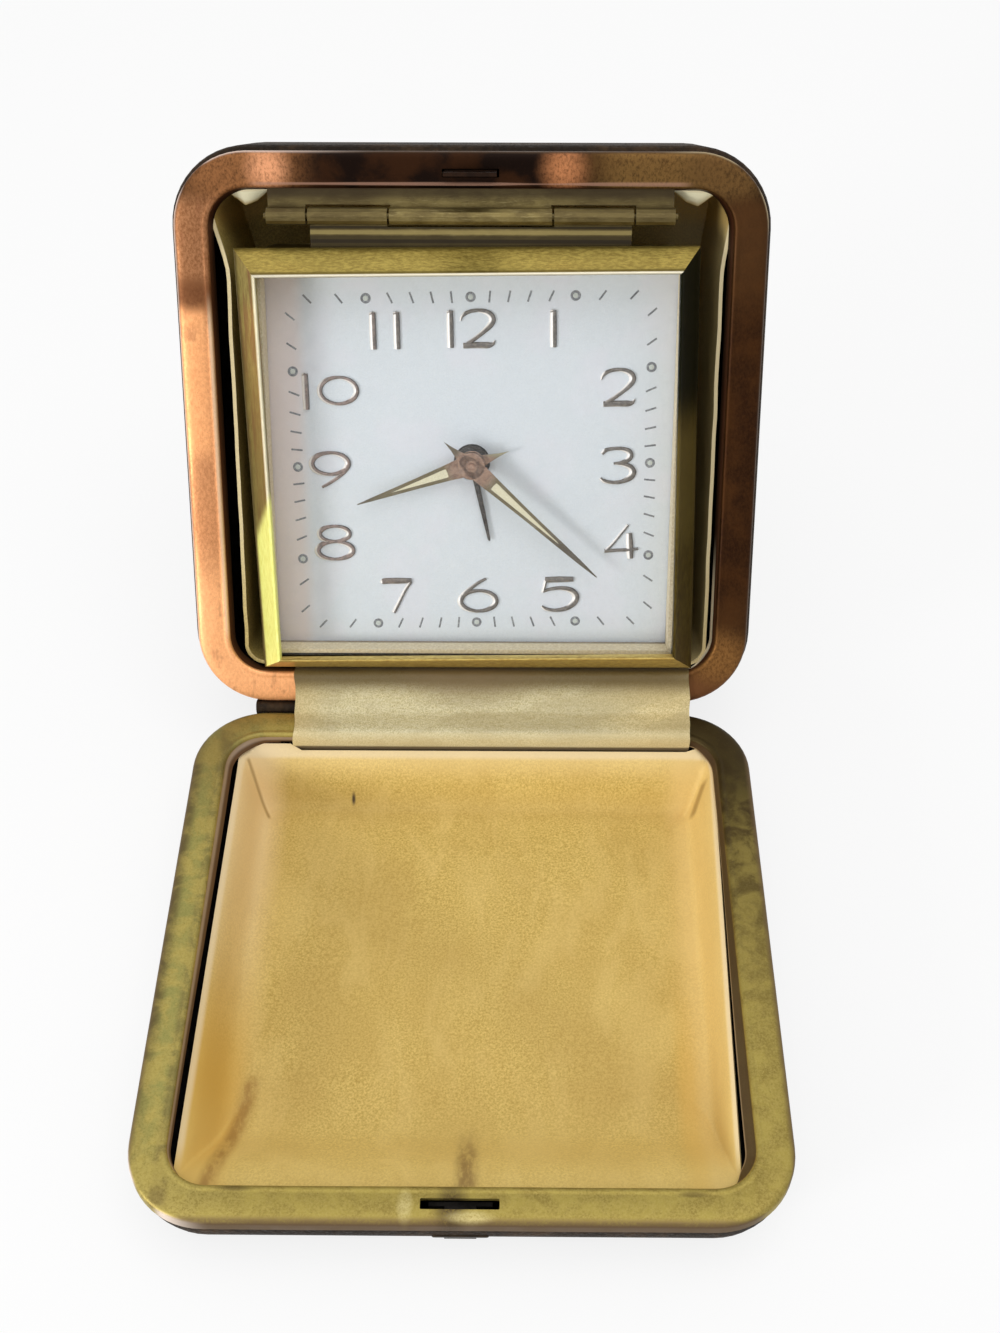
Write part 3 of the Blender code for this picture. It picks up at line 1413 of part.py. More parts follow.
def build_alarm_setting():
    inner = cannon_radius + running_gap + hour_pipe_wall + running_gap
    outer = inner + alarm_pipe_wall
    low, high = layer(alarm_wheel_drop, wheel_thickness)
    wheel = flat([gear_outline(alarm_wheel_teeth, alarm_module, alarm_wheel_phase)], low, high)
    pipe = cylinder(outer, low, -alarm_hand_drop, sides=16)
    bore = cylinder(inner, low - overrun, overrun, sides=16)
    place(cut(combine(wheel, [pipe]), [bore]), "alarm_wheel", "brass", clock_frame)
    hand = flat([hand_outline(alarm_hand_length, alarm_hand_width, alarm_hand_angle)],
                -alarm_hand_drop - hand_sheet, -alarm_hand_drop)
    hub = cylinder(outer + 3 * running_gap, -alarm_hand_drop - hand_sheet, -alarm_hand_drop,
                   sides=20)
    seat = cylinder(outer + running_gap, -alarm_hand_drop - overrun, overrun - alarm_hand_drop,
                    sides=16)
    place(cut(combine(hand, [hub]), [seat]), "alarm_hand", "dark_steel", clock_frame, smooth=0)
    shaft = cylinder(set_shaft_radius, -knob_top - knob_height / 2,
                     -alarm_wheel_drop + wheel_thickness / 2, sides=10)
    pinion = flat([gear_outline(alarm_pinion_teeth, alarm_module, alarm_pinion_phase)],
                  *layer(alarm_wheel_drop, 1.5 * wheel_thickness))
    place(combine(pinion, [shaft]), "alarm_set_arbor", "steel", clock_frame,
          pivoted(alarm_set_at))
    knob = cut(knob_mesh(), [cylinder(set_shaft_radius + running_gap,
                                      -knob_top - knob_height / 2 - running_gap,
                                      overrun - knob_top, sides=10)])
    place(knob, "alarm_set_knob", "brass", clock_frame, pivoted(alarm_set_at))


def build_stop_and_regulator():
    cover_outside = back_cover_drop + cover_thickness
    cap_top = -cover_outside - stop_travel - seat_gap
    cap_bottom = cap_top - stop_cap_height
    inner_end = -back_plate_rear - seat_gap
    stop = turned([(0, inner_end), (stop_shaft_radius, inner_end), (stop_shaft_radius, cap_top),
                   (stop_radius, cap_top), (stop_radius, cap_bottom + stop_cap_height / 3),
                   (stop_radius * stop_top_share, cap_bottom), (0, cap_bottom)], sides=16)
    place(stop, "alarm_stop_button", "brass", clock_frame, pivoted(stop_at))
    low, high = layer(regulator_drop, regulator_sheet)
    collar = cylinder(regulator_collar, low, high, sides=16)
    end = Vector(from_polar((0, 0), regulator_reach, regulator_direction))
    across = Vector((-end.y, end.x)).normalized() * regulator_pin
    arm = flat([[tuple(-across), tuple(end - across), tuple(end + across), tuple(across)]],
               low, high)
    pin = cylinder(regulator_pin, -cover_outside - stop_cap_height, high, tuple(end), sides=10)
    bore = cylinder(regulator_boss + running_gap, low - overrun, high + overrun, sides=10)
    place(cut(combine(collar, [arm, pin]), [bore]), "regulator_lever", "steel", clock_frame,
          pivoted(balance_at))


def build_clock():
    build_bezel()
    build_crystal()
    build_surround()
    build_box()
    build_dial()
    build_cover()
    build_cover_screws()
    build_plates()
    build_train()
    build_barrel("time_barrel", barrel_at, barrel_teeth, barrel_phase)
    build_key("time_winding_key", barrel_at)
    build_lever()
    build_balance()
    build_minute_group()
    build_motion_work()
    build_alarm_setting()
    build_alarm_works()
    build_key("alarm_winding_key", alarm_barrel_at)
    build_stop_and_regulator()


build_lid()
build_back()
build_tongue()
build_catch()
build_spine()
build_clock_hinge()
build_clock()
bpy.context.view_layer.update()
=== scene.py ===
"""Looks of the folding travel alarm clock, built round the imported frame."""

import json
import math

import bmesh
import bpy
from mathutils import Matrix, Vector, noise


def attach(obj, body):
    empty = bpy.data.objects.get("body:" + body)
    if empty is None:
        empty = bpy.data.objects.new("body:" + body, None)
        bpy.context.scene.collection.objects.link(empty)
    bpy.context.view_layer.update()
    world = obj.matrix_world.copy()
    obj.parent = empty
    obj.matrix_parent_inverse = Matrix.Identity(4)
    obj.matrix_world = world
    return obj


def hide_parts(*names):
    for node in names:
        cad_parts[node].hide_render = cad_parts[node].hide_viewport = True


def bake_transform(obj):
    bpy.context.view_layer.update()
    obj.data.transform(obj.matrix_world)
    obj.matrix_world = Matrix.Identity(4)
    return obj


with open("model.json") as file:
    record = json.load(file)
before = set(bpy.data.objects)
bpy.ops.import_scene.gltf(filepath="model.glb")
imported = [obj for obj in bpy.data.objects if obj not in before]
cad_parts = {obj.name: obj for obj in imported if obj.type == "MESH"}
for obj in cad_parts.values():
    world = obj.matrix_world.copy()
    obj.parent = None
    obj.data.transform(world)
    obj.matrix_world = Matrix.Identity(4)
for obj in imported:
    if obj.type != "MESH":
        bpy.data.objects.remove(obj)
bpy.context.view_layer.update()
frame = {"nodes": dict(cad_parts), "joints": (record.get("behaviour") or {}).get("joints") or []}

MM = 0.001
DEG = math.pi / 180

# Sizes of the CAD part, in millimetres
CASE_HALF_WIDTH = 40.0
CASE_HEIGHT = 77.6
CASE_CORNER = 10.0
LID_DEPTH = 11.0
LID_EDGE = 8.5
BACK_EDGE = 5.5
BACK_BULGE = 0.7
BACK_BULGE_HEIGHT = 1.4
RIM_LAND = 4.7
RIM_FLANGE = 1.8
LEATHER = 0.9
SEAT_GAP = 0.3
CLOCK_CENTRE = 35.5
BEZEL_HALF_WIDTH = 31.3
BEZEL_HALF_HEIGHT = 29.7
BEZEL_FACE = 0.3
BEZEL_CHAMFER = 2.7
BEZEL_RISE = 4.0
DIAL_DROP = 2.5
MINUTE_HAND_RISE = 0.3
HOUR_HAND_DROP = 0.8
ALARM_HAND_DROP = 1.9
HAND_SHEET = 0.25

joints = {joint["name"]: joint for joint in frame["joints"]}
nodes = frame["nodes"]


def local_frame(origin, across, up, out):
    """Matrix from a frame's millimetres to the row's metres."""
    turn = Matrix((across, up, out)).transposed().to_4x4()
    return Matrix.Translation(origin) @ turn @ Matrix.Scale(MM, 4)


RIGHT = Vector((1, 0, 0))
HINGE_AT = Vector(joints["case_hinge"]["pos_m"])
CLOCK_AT = Vector(joints["time_setting"]["pos_m"])
CLOCK_OUT = Vector(joints["time_setting"]["axis"]).normalized()
CLOCK_UP = CLOCK_OUT.cross(RIGHT)
LID_AT = HINGE_AT - Vector((0, 0.4, 0.3)) * MM
BACK_AT = CLOCK_AT - CLOCK_UP * CLOCK_CENTRE * MM
LID = local_frame(LID_AT, RIGHT, Vector((0, 1, 0)), Vector((0, 0, 1)))
BACK = local_frame(BACK_AT, RIGHT, CLOCK_UP, CLOCK_OUT)
CLOCK = local_frame(CLOCK_AT, RIGHT, CLOCK_UP, CLOCK_OUT)
# The clock hangs a little askew on its hinge, as photographed
FACE_TURN = 0.9 * DEG
FACE_SHIFT = 0.25
DIAL_SINK = 0.4
ASKEW = Matrix.Rotation(FACE_TURN, 4, "Z")
BEZEL = CLOCK @ Matrix.Translation((FACE_SHIFT, 0, 0)) @ ASKEW
FACE = CLOCK @ Matrix.Translation((FACE_SHIFT, -DIAL_SINK, 0)) @ ASKEW
HANDS = CLOCK @ ASKEW


# Node materials

class Field:
    """A value of a node tree. Fields multiply and add, abs() works, and a | b is the larger."""

    def __init__(self, tree, socket):
        self.tree, self.socket = tree, socket

    def __call__(self, start, end, low=0, high=1):
        """Smooth rise of the value from one place to another."""
        return new_node(self.tree, "MapRange", {"Value": self, "From Min": start, "From Max": end,
                                                "To Min": low, "To Max": high},
                        interpolation_type="SMOOTHSTEP")

    def math(self, operation, other=0):
        return new_node(self.tree, "Math", {0: self, 1: other}, operation=operation)

    def __mul__(self, other):
        return self.math("MULTIPLY", other)

    def __add__(self, other):
        return self.math("ADD", other)

    def __sub__(self, number):
        return self.math("ADD", -number)

    def __or__(self, other):
        return self.math("MAXIMUM", other)

    def __abs__(self):
        return self.math("ABSOLUTE")


def feed(tree, socket, value):
    if isinstance(value, Field):
        tree.links.new(value.socket, socket)
    else:
        socket.default_value = (*value, 1) if socket.type == "RGBA" else value


def new_node(tree, kind, inputs, output=0, **settings):
    """One output of a new node, whose inputs are fed with fields or constants."""
    made = tree.nodes.new("ShaderNode" + kind)
    for name, value in settings.items():
        setattr(made, name, value)
    for name, value in inputs.items():
        feed(tree, made.inputs[name], value)
    return Field(tree, made.outputs[output])


def length(a, b):
    return (a * a + b * b).math("SQRT")


class Look:
    """A material whose patterns follow a frame's millimetres, painted layer by layer."""

    def __init__(self, name, place, metallic=0, roughness=0.5, specular=0.5):
        self.material = bpy.data.materials.new(name)
        self.material.use_nodes = True
        self.tree = self.material.node_tree
        self.put("Metallic", metallic)
        self.put("Roughness", roughness)
        self.put("Specular IOR Level", specular)
        self.where = self.node("Mapping", {
            "Vector": self.node("TexCoord", {}, "Object"), "Location": place.to_translation(),
            "Rotation": place.to_euler(), "Scale": (MM, MM, MM)}, vector_type="TEXTURE")
        split = self.node("SeparateXYZ", {0: self.where}).socket.node
        self.x, self.y, self.z = (Field(self.tree, socket) for socket in split.outputs)

    def node(self, kind, inputs, output=0, **settings):
        return new_node(self.tree, kind, inputs, output, **settings)

    def put(self, name, value):
        feed(self.tree, self.tree.nodes["Principled BSDF"].inputs[name], value)

    def stretched(self, scale):
        return self.node("VectorMath", {0: self.where, 1: scale}, operation="MULTIPLY")

    def noise(self, scale, detail=3, rough=0.5, stretch=(1, 1, 1), warp=0):
        return self.node("TexNoise", {"Vector": self.stretched(stretch), "Scale": scale,
                                      "Detail": detail, "Roughness": rough, "Distortion": warp},
                         "Fac")

    def cells(self, scale):
        return self.node("TexVoronoi", {"Vector": self.stretched((1, 1, 1)), "Scale": scale},
                         "Distance", feature="SMOOTH_F1")

    def mix(self, share, a, b):
        return self.node("Mix", {"Factor": share, 6: a, 7: b}, 2, data_type="RGBA")

    def paint(self, colour, mask):
        """Colour laid over the base, as far as the mask says."""
        self.base = self.mix(mask, self.base, colour)

    def spot(self, x, y, reach, soft, wide=1, tall=1):
        """Round mask at a place: 1 inside, fading to 0."""
        away = length((self.x - x) * (1 / wide), (self.y - y) * (1 / tall))
        return away(reach, reach + soft, 1, 0)

    def streak(self, start, end, half, soft):
        """Mask along the line between two places: 1 on it, fading beside it and past its ends."""
        run = Vector(end) - Vector(start)
        ahead = run.normalized()
        dx, dy = self.x - start[0], self.y - start[1]
        along = dx * ahead.x + dy * ahead.y
        aside = dx * -ahead.y + dy * ahead.x
        ends = along(-soft, soft) * along(run.length + soft, run.length - soft)
        return abs(aside)(half, half + soft, 1, 0) * ends

    def facing(self):
        """How far a surface leans towards the light at the left of the dial and a little below it,
        from 1 to -1; used for painted light and shade.
        """
        return self.node("VectorMath", {0: self.node("TexCoord", {}, "Normal"),
                                        1: -RIGHT * 0.95 - CLOCK_UP * 0.3},
                         "Value", operation="DOT_PRODUCT")

    def rough(self, field, low, high):
        self.put("Roughness", field(0.3, 0.7, low, high))

    def bump(self, height, distance, strength):
        self.put("Normal", self.node("Bump", {"Strength": strength, "Distance": distance * MM,
                                              "Height": height}))

    def done(self, *bump):
        """Finished material, where wanted with a bump's height, distance and strength."""
        self.put("Base Color", self.base)
        if bump:
            self.bump(*bump)
        return self.material


def two_tone(name, noise_of, start, end, dark, light, bump, **finish):
    """Material of the clock in two tones, both mottled and embossed by one noise."""
    look = Look(name, CLOCK, **finish)
    grain = look.noise(*noise_of)
    look.base = look.mix(grain(start, end), dark, light)
    return look.done(grain, *bump)


def rim_lid_look():
    """Olive gilt with mottled tarnish, browner at the rear right and along its outer edge, with a
    painted glint at its front left corner, painted light and shade on its inner lip and painted
    shade in two small dents.
    """
    look = Look("rim_olive_gilt", LID, metallic=0.6, specular=0.2)
    mottle = look.noise(0.3, 6, 0.62, warp=0.4)
    fine = look.noise(3.4, 5, 0.72)
    look.base = look.mix(mottle(0.36, 0.64), (0.225, 0.165, 0.036), (0.345, 0.268, 0.062))
    look.paint((0.42, 0.33, 0.095), fine(0.36, 0.66, 0, 0.55))
    left = look.x(-20, -38)
    look.paint((0.5, 0.4, 0.12), left * fine(0.3, 0.6, 0.1, 0.5))
    look.paint((0.24, 0.25, 0.075), left * look.y(-76, -60) * mottle(0.6, 0.38, 0.05, 0.6))
    brown = look.x(24, 35) * look.y(-60, -16)
    look.paint((0.055, 0.034, 0.01), brown * mottle(0.62, 0.36, 0.55, 1))
    look.paint((0.04, 0.026, 0.007), look.x(6, 26) * look.y(-26, -8) * 0.95)
    look.paint((0.13, 0.09, 0.03), look.x(-24, -36) * look.y(-26, -4) * 0.5)
    look.paint((0.11, 0.08, 0.025), look.noise(5, 3, 0.7)(0.6, 0.7) * 0.4)
    wide = abs(look.x)
    rub = wide(39, 39.9) | look.y(-76.5, -77.3)
    look.paint((0.15, 0.095, 0.045), rub * fine(0.3, 0.6, 0.45, 0.85))
    side = look.x(-37.9, -39.3) * look.y(-66, -50, 0.3, 1)
    look.paint((0.095, 0.062, 0.025), side * mottle(0.62, 0.38, 0.35, 0.8))
    bead = look.x(-34, -35) * look.x(-36.9, -36)
    look.paint((0.14, 0.095, 0.035), bead * mottle(0.6, 0.4, 0.1, 0.5))
    edge = look.z(-0.1, -0.5) * (wide(38, 39) | look.y(-75.5, -76.5))
    look.paint((0.125, 0.078, 0.043), edge * 0.85)
    # Painted highlight: a pinkish white glint on the rolled edge at the front left corner.
    look.paint((0.95, 0.8, 0.68), look.spot(-37, -73.5, 3, 6) * edge * 0.9)
    # Painted light and shade on the sheet turned down inside the rim: pinkish at its top on the
    # left, dark lower down and along the right, with a painted highlight line low on the right.
    within = wide(35.7, 35.35) * look.y(-73.3, -72.7)
    lip = within * look.z(-0.28, -0.5)
    lip_light_and_shade = look.mix(look.z(-0.75, -1.25), (0.4, 0.31, 0.25), (0.12, 0.06, 0.035))
    look.paint(look.mix(look.x(-10, 10), lip_light_and_shade, (0.07, 0.042, 0.022)), lip * 0.9)
    look.paint((0.4, 0.29, 0.17), within * look.z(-1.42, -1.56) * look.x(20, 30) * 0.8)
    stain = look.spot(-1, -75.6, 0.5, 2.2, tall=1.6)
    look.paint((0.07, 0.045, 0.02), stain * fine(0.3, 0.6, 0.35, 0.95))
    worn = (look.spot(1.2, -76.7, 0.6, 1.4, wide=1.8, tall=0.5)
            + look.spot(-6.4, -75.4, 0.4, 1.2, wide=0.8, tall=1.6))
    look.paint((0.55, 0.46, 0.2), worn * fine(0.3, 0.6, 0.2, 0.7))
    # Painted shade of two small dents along the inner edge of the front bar.
    dent = (look.spot(-26.4, -73.4, 0.15, 0.5, wide=5, tall=0.8)
            + look.spot(27.3, -73.8, 0.15, 0.5, wide=4, tall=0.8))
    look.paint((0.09, 0.06, 0.018), dent * 0.6)
    look.rough(mottle, 0.42, 0.56)
    return look.done(mottle * 0.6 + fine * 0.4, 0.04, 0.5)


def rim_back_look():
    """Rose copper gilt, in painted reflection bright down the left bar and dark brown across the
    right; dark brown across the top with painted highlight patches, painted highlights along its
    edges and painted shade in its inner lip.
    """
    look = Look("rim_rose_gilt", BACK, metallic=0.6, specular=0.12)
    mottle = look.noise(0.16, 5, 0.55, warp=0.3)
    fine = look.noise(3.2, 5, 0.72, stretch=(1, 0.6, 1))
    grain = fine(0.34, 0.66)
    # Painted reflection: the left bar bright copper, brightest low down and along a highlight
    # streak, the right bar near black brown, lighter towards its ends.
    dull = look.mix(grain, (0.215, 0.086, 0.033), (0.36, 0.165, 0.073))
    mild = look.mix(grain, (0.46, 0.195, 0.08), (0.64, 0.29, 0.125))
    streak_highlight = look.mix(grain, (0.7, 0.31, 0.125), (0.86, 0.41, 0.175))
    bright = look.mix(grain, (0.8, 0.37, 0.16), (0.94, 0.47, 0.21))
    left = look.mix(look.y(52, 56.5), mild, dull)
    streak = look.y(35, 39) * look.y(58.5, 56)
    left = look.mix(streak * look.x(-35.8, -36.8), left, streak_highlight)
    left = look.mix(look.y(26, 14), left, bright)
    smudge = look.spot(-38, 59, 1, 3.2, wide=1.6, tall=0.8)
    left = look.mix(smudge * fine(0.3, 0.6, 0.3, 0.9), left, (0.13, 0.045, 0.016))
    scuff = look.noise(0.5, 3, 0.6, stretch=(1, 0.35, 1))(0.58, 0.68)
    left = look.mix(scuff * 0.35, left, (0.26, 0.1, 0.045))
    right = look.mix(mottle(0.4, 0.66), (0.02, 0.0058, 0.001), (0.046, 0.0155, 0.003))
    right = look.mix(grain * 0.3, right, (0.075, 0.03, 0.008))
    ends = abs(look.y - 36)(16, 30)
    right = look.mix(ends * 0.45, right, (0.095, 0.042, 0.013))
    patch = look.spot(36, 6.5, 1.5, 5)
    right = look.mix(patch * fine(0.32, 0.62, 0.3, 0.9), right, (0.25, 0.115, 0.032))
    top = look.mix(mottle(0.42, 0.62), (0.006, 0.0018, 0.0004), (0.026, 0.0085, 0.002))
    # Painted highlight patches along the dark top bar.
    for x, reach, soft, colour in (
            (-31, 3, 9, (0.27, 0.112, 0.04)), (-27, 0.5, 3.5, (0.74, 0.34, 0.17)),
            (12.5, 0.2, 4.2, (0.5, 0.2, 0.08)), (24, 3, 8, (0.17, 0.09, 0.026)),
            (34, 2, 6, (0.14, 0.072, 0.022))):
        spot = look.spot(x, 75.3, reach, soft)
        top = look.mix(spot * fine(0.3, 0.6, 0.35, 0.95), top, colour)
    look.base = look.mix(look.x(-30, 30), left, right)
    look.paint(top, look.y(70, 73))
    look.paint((0.17, 0.07, 0.026), look.y(6.5, 2) * look.x(-26, -10))
    look.paint(right, patch * 0.7)
    wide = abs(look.x)
    # Painted highlight: a light line along the lower edge of the top bar.
    line = look.y(73.9, 73.5) * look.y(72.9, 73.3) * look.z(0.04, 0.07)
    look.paint((0.34, 0.19, 0.13), line * wide(30, 27.5) * 0.6)
    # Painted highlight: a bright line down the inner edge of the left bar.
    inner = wide(36.1, 35.7) * look.y(60, 54) * look.x(0, -1) * look.z(-0.3, -0.1)
    look.paint((0.95, 0.74, 0.5), inner * look.y(8.5, 12) * 0.55)
    # Painted reflection on the rolled outer edge: pale pink on the left, dark on the right, tan at
    # the top right.
    edge = look.z(-0.1, -0.45) * (wide(38, 39) | look.y(75.5, 76.5))
    rolled = look.mix(look.x(-30, -12), (0.85, 0.66, 0.56), (0.1, 0.06, 0.035))
    look.paint(look.mix(look.x(24, 33) * look.y(66, 70), rolled, (0.52, 0.4, 0.22)), edge * 0.8)
    within = wide(35.7, 35.35) * look.y(4.3, 4.9) * look.y(73.3, 72.7)
    lip = within * look.z(-0.28, -0.5)
    # Painted shade down the inner lip, darker towards its foot, and a painted cream highlight low
    # on the right.
    lip_shade = look.mix(look.z(-0.6, -1.5), (0.085, 0.028, 0.012), (0.018, 0.007, 0.004))
    look.paint(lip_shade, lip * 0.95)
    glint = lip * look.x(28, 31) * look.y(26, 14)
    look.paint((1, 0.9, 0.72), glint * look.z(-1, -1.2))
    look.paint((0.05, 0.022, 0.009), look.noise(4.2, 3, 0.7)(0.62, 0.72) * 0.35)
    look.rough(mottle, 0.4, 0.52)
    return look.done(mottle * 0.4 + fine * 0.4, 0.04, 0.4)


def leather_look(name, place):
    """Near-black pebbled leather, browner where it is rubbed."""
    look = Look(name, place, roughness=0.62, specular=0.08)
    pebble = look.cells(1.5)
    crease = look.noise(2.4, 5, 0.6)
    rub = look.noise(0.16, 4, 0.6)
    look.base = look.mix(rub(0.4, 0.7), (0.02, 0.013, 0.008), (0.056, 0.033, 0.017))
    look.paint((0.008, 0.006, 0.005), pebble(0.25, 0.75, 0, 0.55))
    look.rough(crease, 0.5, 0.7)
    height = pebble * -0.8 + crease * 0.5
    return look.done(height, 0.22, 0.8)


def card_look():
    """Gold coated card of the lid's tray, finely grained, with stains where it was handled, and
    painted light and shade on its fold, rear edge, slopes and puckers.
    """
    look = Look("card_gold", LID, roughness=0.6, specular=0.25)
    grain = look.noise(3.4, 5, 0.75)
    cloud = look.noise(0.075, 4, 0.55)
    flow = look.noise(0.16, 4, 0.6, stretch=(1, 0.35, 1), warp=0.6)
    look.base = look.mix(grain(0.34, 0.66), (0.5, 0.325, 0.07), (0.78, 0.57, 0.175))
    look.paint((0.56, 0.365, 0.095), cloud(0.38, 0.62, 0, 0.4))
    look.paint((0.8, 0.58, 0.2), flow(0.46, 0.66, 0, 0.35))
    # Painted shade of a faint diagonal fold across the tray.
    shade = look.x * 0.62 + look.y * 0.78
    band = abs(shade + 30)(9, 2)
    look.paint((0.42, 0.27, 0.07), band * 0.16)
    # Painted highlight along the rolled rear edge, and painted shade on the slope below it.
    look.paint((0.9, 0.66, 0.28), look.y(-9.6, -7) * 0.45)
    look.paint((0.52, 0.33, 0.08), look.y(-9, -11) * look.y(-15, -12) * 0.35)
    # Painted light and shade of the side slopes: the left one pale, orange lower down, the right
    # one lighter, with an orange band.
    look.paint((0.92, 0.68, 0.36), look.x(-26, -31) * look.y(-62, -12) * 0.75)
    look.paint((0.68, 0.41, 0.085), look.x(-27, -30.5) * look.y(-36, -58) * 0.9)
    look.paint((0.8, 0.56, 0.21), look.x(27, 31) * 0.6)
    look.paint((0.7, 0.42, 0.085), abs(look.x - 28.6)(2.2, 0.3) * look.y(-38, -56) * 0.5)
    look.paint((0.92, 0.68, 0.22), look.y(-56, -68) * 0.35)
    blotch = look.noise(0.6, 5, 0.65, stretch=(1.6, 0.6, 1))
    wedge = look.y(-60.5, -68) * abs(look.x - 0.6)(2, 0.3)
    look.paint((0.28, 0.165, 0.05), wedge * blotch(0.35, 0.6, 0.35, 0.85))
    left = look.streak((-27.3, -55), (-30.6, -73), 0.2, 1.5)
    look.paint((0.36, 0.19, 0.045), left * blotch(0.32, 0.62, 0.35, 0.8))
    # Painted shade in the puckers at the rear corners.
    pucker = (look.streak((33.8, -9.9), (32.1, -13.6), 0.1, 0.55)
              + look.streak((-32.7, -6.9), (-29.5, -13.4), 0.03, 0.38))
    look.paint((0.3, 0.175, 0.045), pucker * 0.7)
    look.paint((0.05, 0.03, 0.018), look.spot(-17.3, -10.6, 0.1, 0.45, wide=0.75, tall=1.7) * 0.95)
    look.paint((0.9, 0.74, 0.48), look.z(-2.75, -2.3) * look.y(-71, -66) * 0.6)
    look.rough(grain, 0.52, 0.66)
    return look.done(grain + blotch * 0.6, 0.05, 0.6)


def back_card_look():
    """Gold card walls round the clock, cream along their edge, with painted light on the right
    wall and at the top corners.
    """
    look = Look("card_gold_back", BACK, roughness=0.55, specular=0.25)
    grain = look.noise(3.5, 4, 0.65)
    look.base = look.mix(grain(0.35, 0.7), (0.36, 0.265, 0.07), (0.56, 0.43, 0.135))
    # Painted light: the right wall and the top corners lighter, and a painted cream highlight on
    # the coves beside the hinge.
    look.paint((0.62, 0.5, 0.27), look.x(20, 33) * 0.55)
    look.paint((0.74, 0.5, 0.15), look.y(66, 69) * grain(0.35, 0.7, 0.6, 0.9))
    look.paint((1, 0.94, 0.66), look.y(70.2, 70.7) * look.z(-4.2, -3.2))
    look.paint((0.84, 0.72, 0.46), look.z(-2.1, -1.75) * look.y(8, 30, 0.25, 1) * 0.65)
    return look.done(grain, 0.05, 0.5)


def satin_look():
    """Cream satin: a fine weave, silvery across its middle, yellow at its ends, with painted shade
    in its folds, a painted shadow at the top under the clock and painted light on the front that
    hangs into the lid.
    """
    look = Look("satin_cream", LID, roughness=0.45, specular=0.4)
    weave = look.noise(4.6, 4, 0.75)
    slub = look.noise(1.6, 3, 0.6, stretch=(0.5, 1.6, 1.6))
    drape = look.noise(0.09, 3, 0.5, stretch=(1, 2.2, 2.2))
    look.base = look.mix(weave(0.34, 0.66), (0.4, 0.335, 0.16), (0.72, 0.65, 0.4))
    look.paint((0.74, 0.68, 0.48), slub(0.4, 0.66, 0, 0.3))
    side = look.x(-20, -26) + look.x(14, 30)
    look.paint(look.mix(weave(0.34, 0.66), (0.5, 0.385, 0.15), (0.78, 0.64, 0.34)), side * 0.85)
    # Painted shade in the soft folds of the drape.
    look.paint((0.36, 0.29, 0.14), drape(0.44, 0.6, 0, 0.35))
    # Painted shadow at the top, under the clock.
    back = look.y * 0.486 + look.z * 0.874
    look.paint((0.095, 0.06, 0.012), back(2.2, 5.2) * 0.9)
    stain = look.spot(0, 3.4, 1, 5.5, wide=2.2, tall=0.7)
    look.paint((0.17, 0.115, 0.05), stain * drape(0.7, 0.35, 0.4, 0.8))
    # Painted light on the front that hangs down into the lid, and a painted shadow line along its
    # foot.
    hanging = look.y(-4.2, -4.7)
    look.paint((0.72, 0.6, 0.33), hanging * 0.45)
    look.paint((0.12, 0.075, 0.03), hanging * look.z(-1.55, -1.95) * 0.9)
    look.put("Sheen Weight", 0.25)
    look.put("Sheen Roughness", 0.4)
    return look.done(weave + slub, 0.06, 0.7)


def brushed_look(name, along, dark, light, roughness=0.34, place=CLOCK, metallic=0.75):
    """Finely grained brass whose marks lean along X or along Y of its frame."""
    look = Look(name, place, metallic=metallic)
    stretch = (0.35, 1, 1) if along == "X" else (1, 0.22, 1)
    streak = look.noise(3.4, 5, 0.72, stretch=stretch)
    cloud = look.noise(0.28, 4, 0.6)
    look.base = look.mix(streak(0.34, 0.66), dark, light)
    look.paint(dark, cloud(0.45, 0.7, 0, 0.3))
    look.rough(streak, roughness - 0.04, roughness + 0.08)
    look.bump(streak, 0.02, 0.45)
    return look, streak


# Height where the bezel's chamfers turn over into their inner edge
EDGE_ROLL = 4.05


def bezel_bar_look(name, sign, dark, light, seam):
    """Upper or lower chamfer: grained brass, dark along its inner edge and its outer one; the
    upper one has a painted white highlight along its inner edge.
    """
    look, streak = brushed_look(name, "X", dark, light)
    inner = look.z(EDGE_ROLL - 0.45, EDGE_ROLL - 0.1)
    outer = look.z(0.95, 0.35)
    look.paint(seam, inner * (0.8 if sign > 0 else 0.25))
    look.paint(seam, outer * 0.6)
    # On the upper chamfer, a painted white highlight along its rolled inner edge.
    if sign > 0:
        white = look.z(EDGE_ROLL + 0.05, EDGE_ROLL + 0.15)
        look.paint((0.74, 0.7, 0.58), white * 0.6)
    return look.done()


def bezel_left_look():
    """Left chamfer: olive with reddish streaks above; below, a painted reflection in bright yellow
    green; a painted cream highlight along its inner edge.
    """
    look, streak = brushed_look("bezel_left", "Y", (0.32, 0.245, 0.07), (0.48, 0.41, 0.135),
                                metallic=0.6)
    red = look.noise(0.9, 3, 0.6, stretch=(1, 0.1, 1))
    look.paint((0.26, 0.115, 0.055), red(0.5, 0.66, 0, 0.65))
    look.paint((0.18, 0.125, 0.03), look.y(22, 8) * look.y(-12, -6) * 0.5)
    look.paint((0.12, 0.085, 0.03), look.z(1.15, 0.5) * 0.7)
    # Painted highlight: a cream line along the inner edge.
    inner = look.z(EDGE_ROLL - 0.1, EDGE_ROLL + 0.05)
    look.paint((0.82, 0.76, 0.56), inner * 0.7)
    # Painted reflection: bright yellow green over the lower part, made less metallic there so that
    # it shows.
    bright = look.mix(streak(0.3, 0.7), (0.78, 0.77, 0.17), (0.94, 0.96, 0.31))
    start = look.y + (look.x + 30) * -2.4
    low = start(-7, -10.5) * look.z(0.5, 1.15)
    look.paint(bright, low)
    look.put("Metallic", low(0, 1, 0.6, 0.15))
    return look.done()


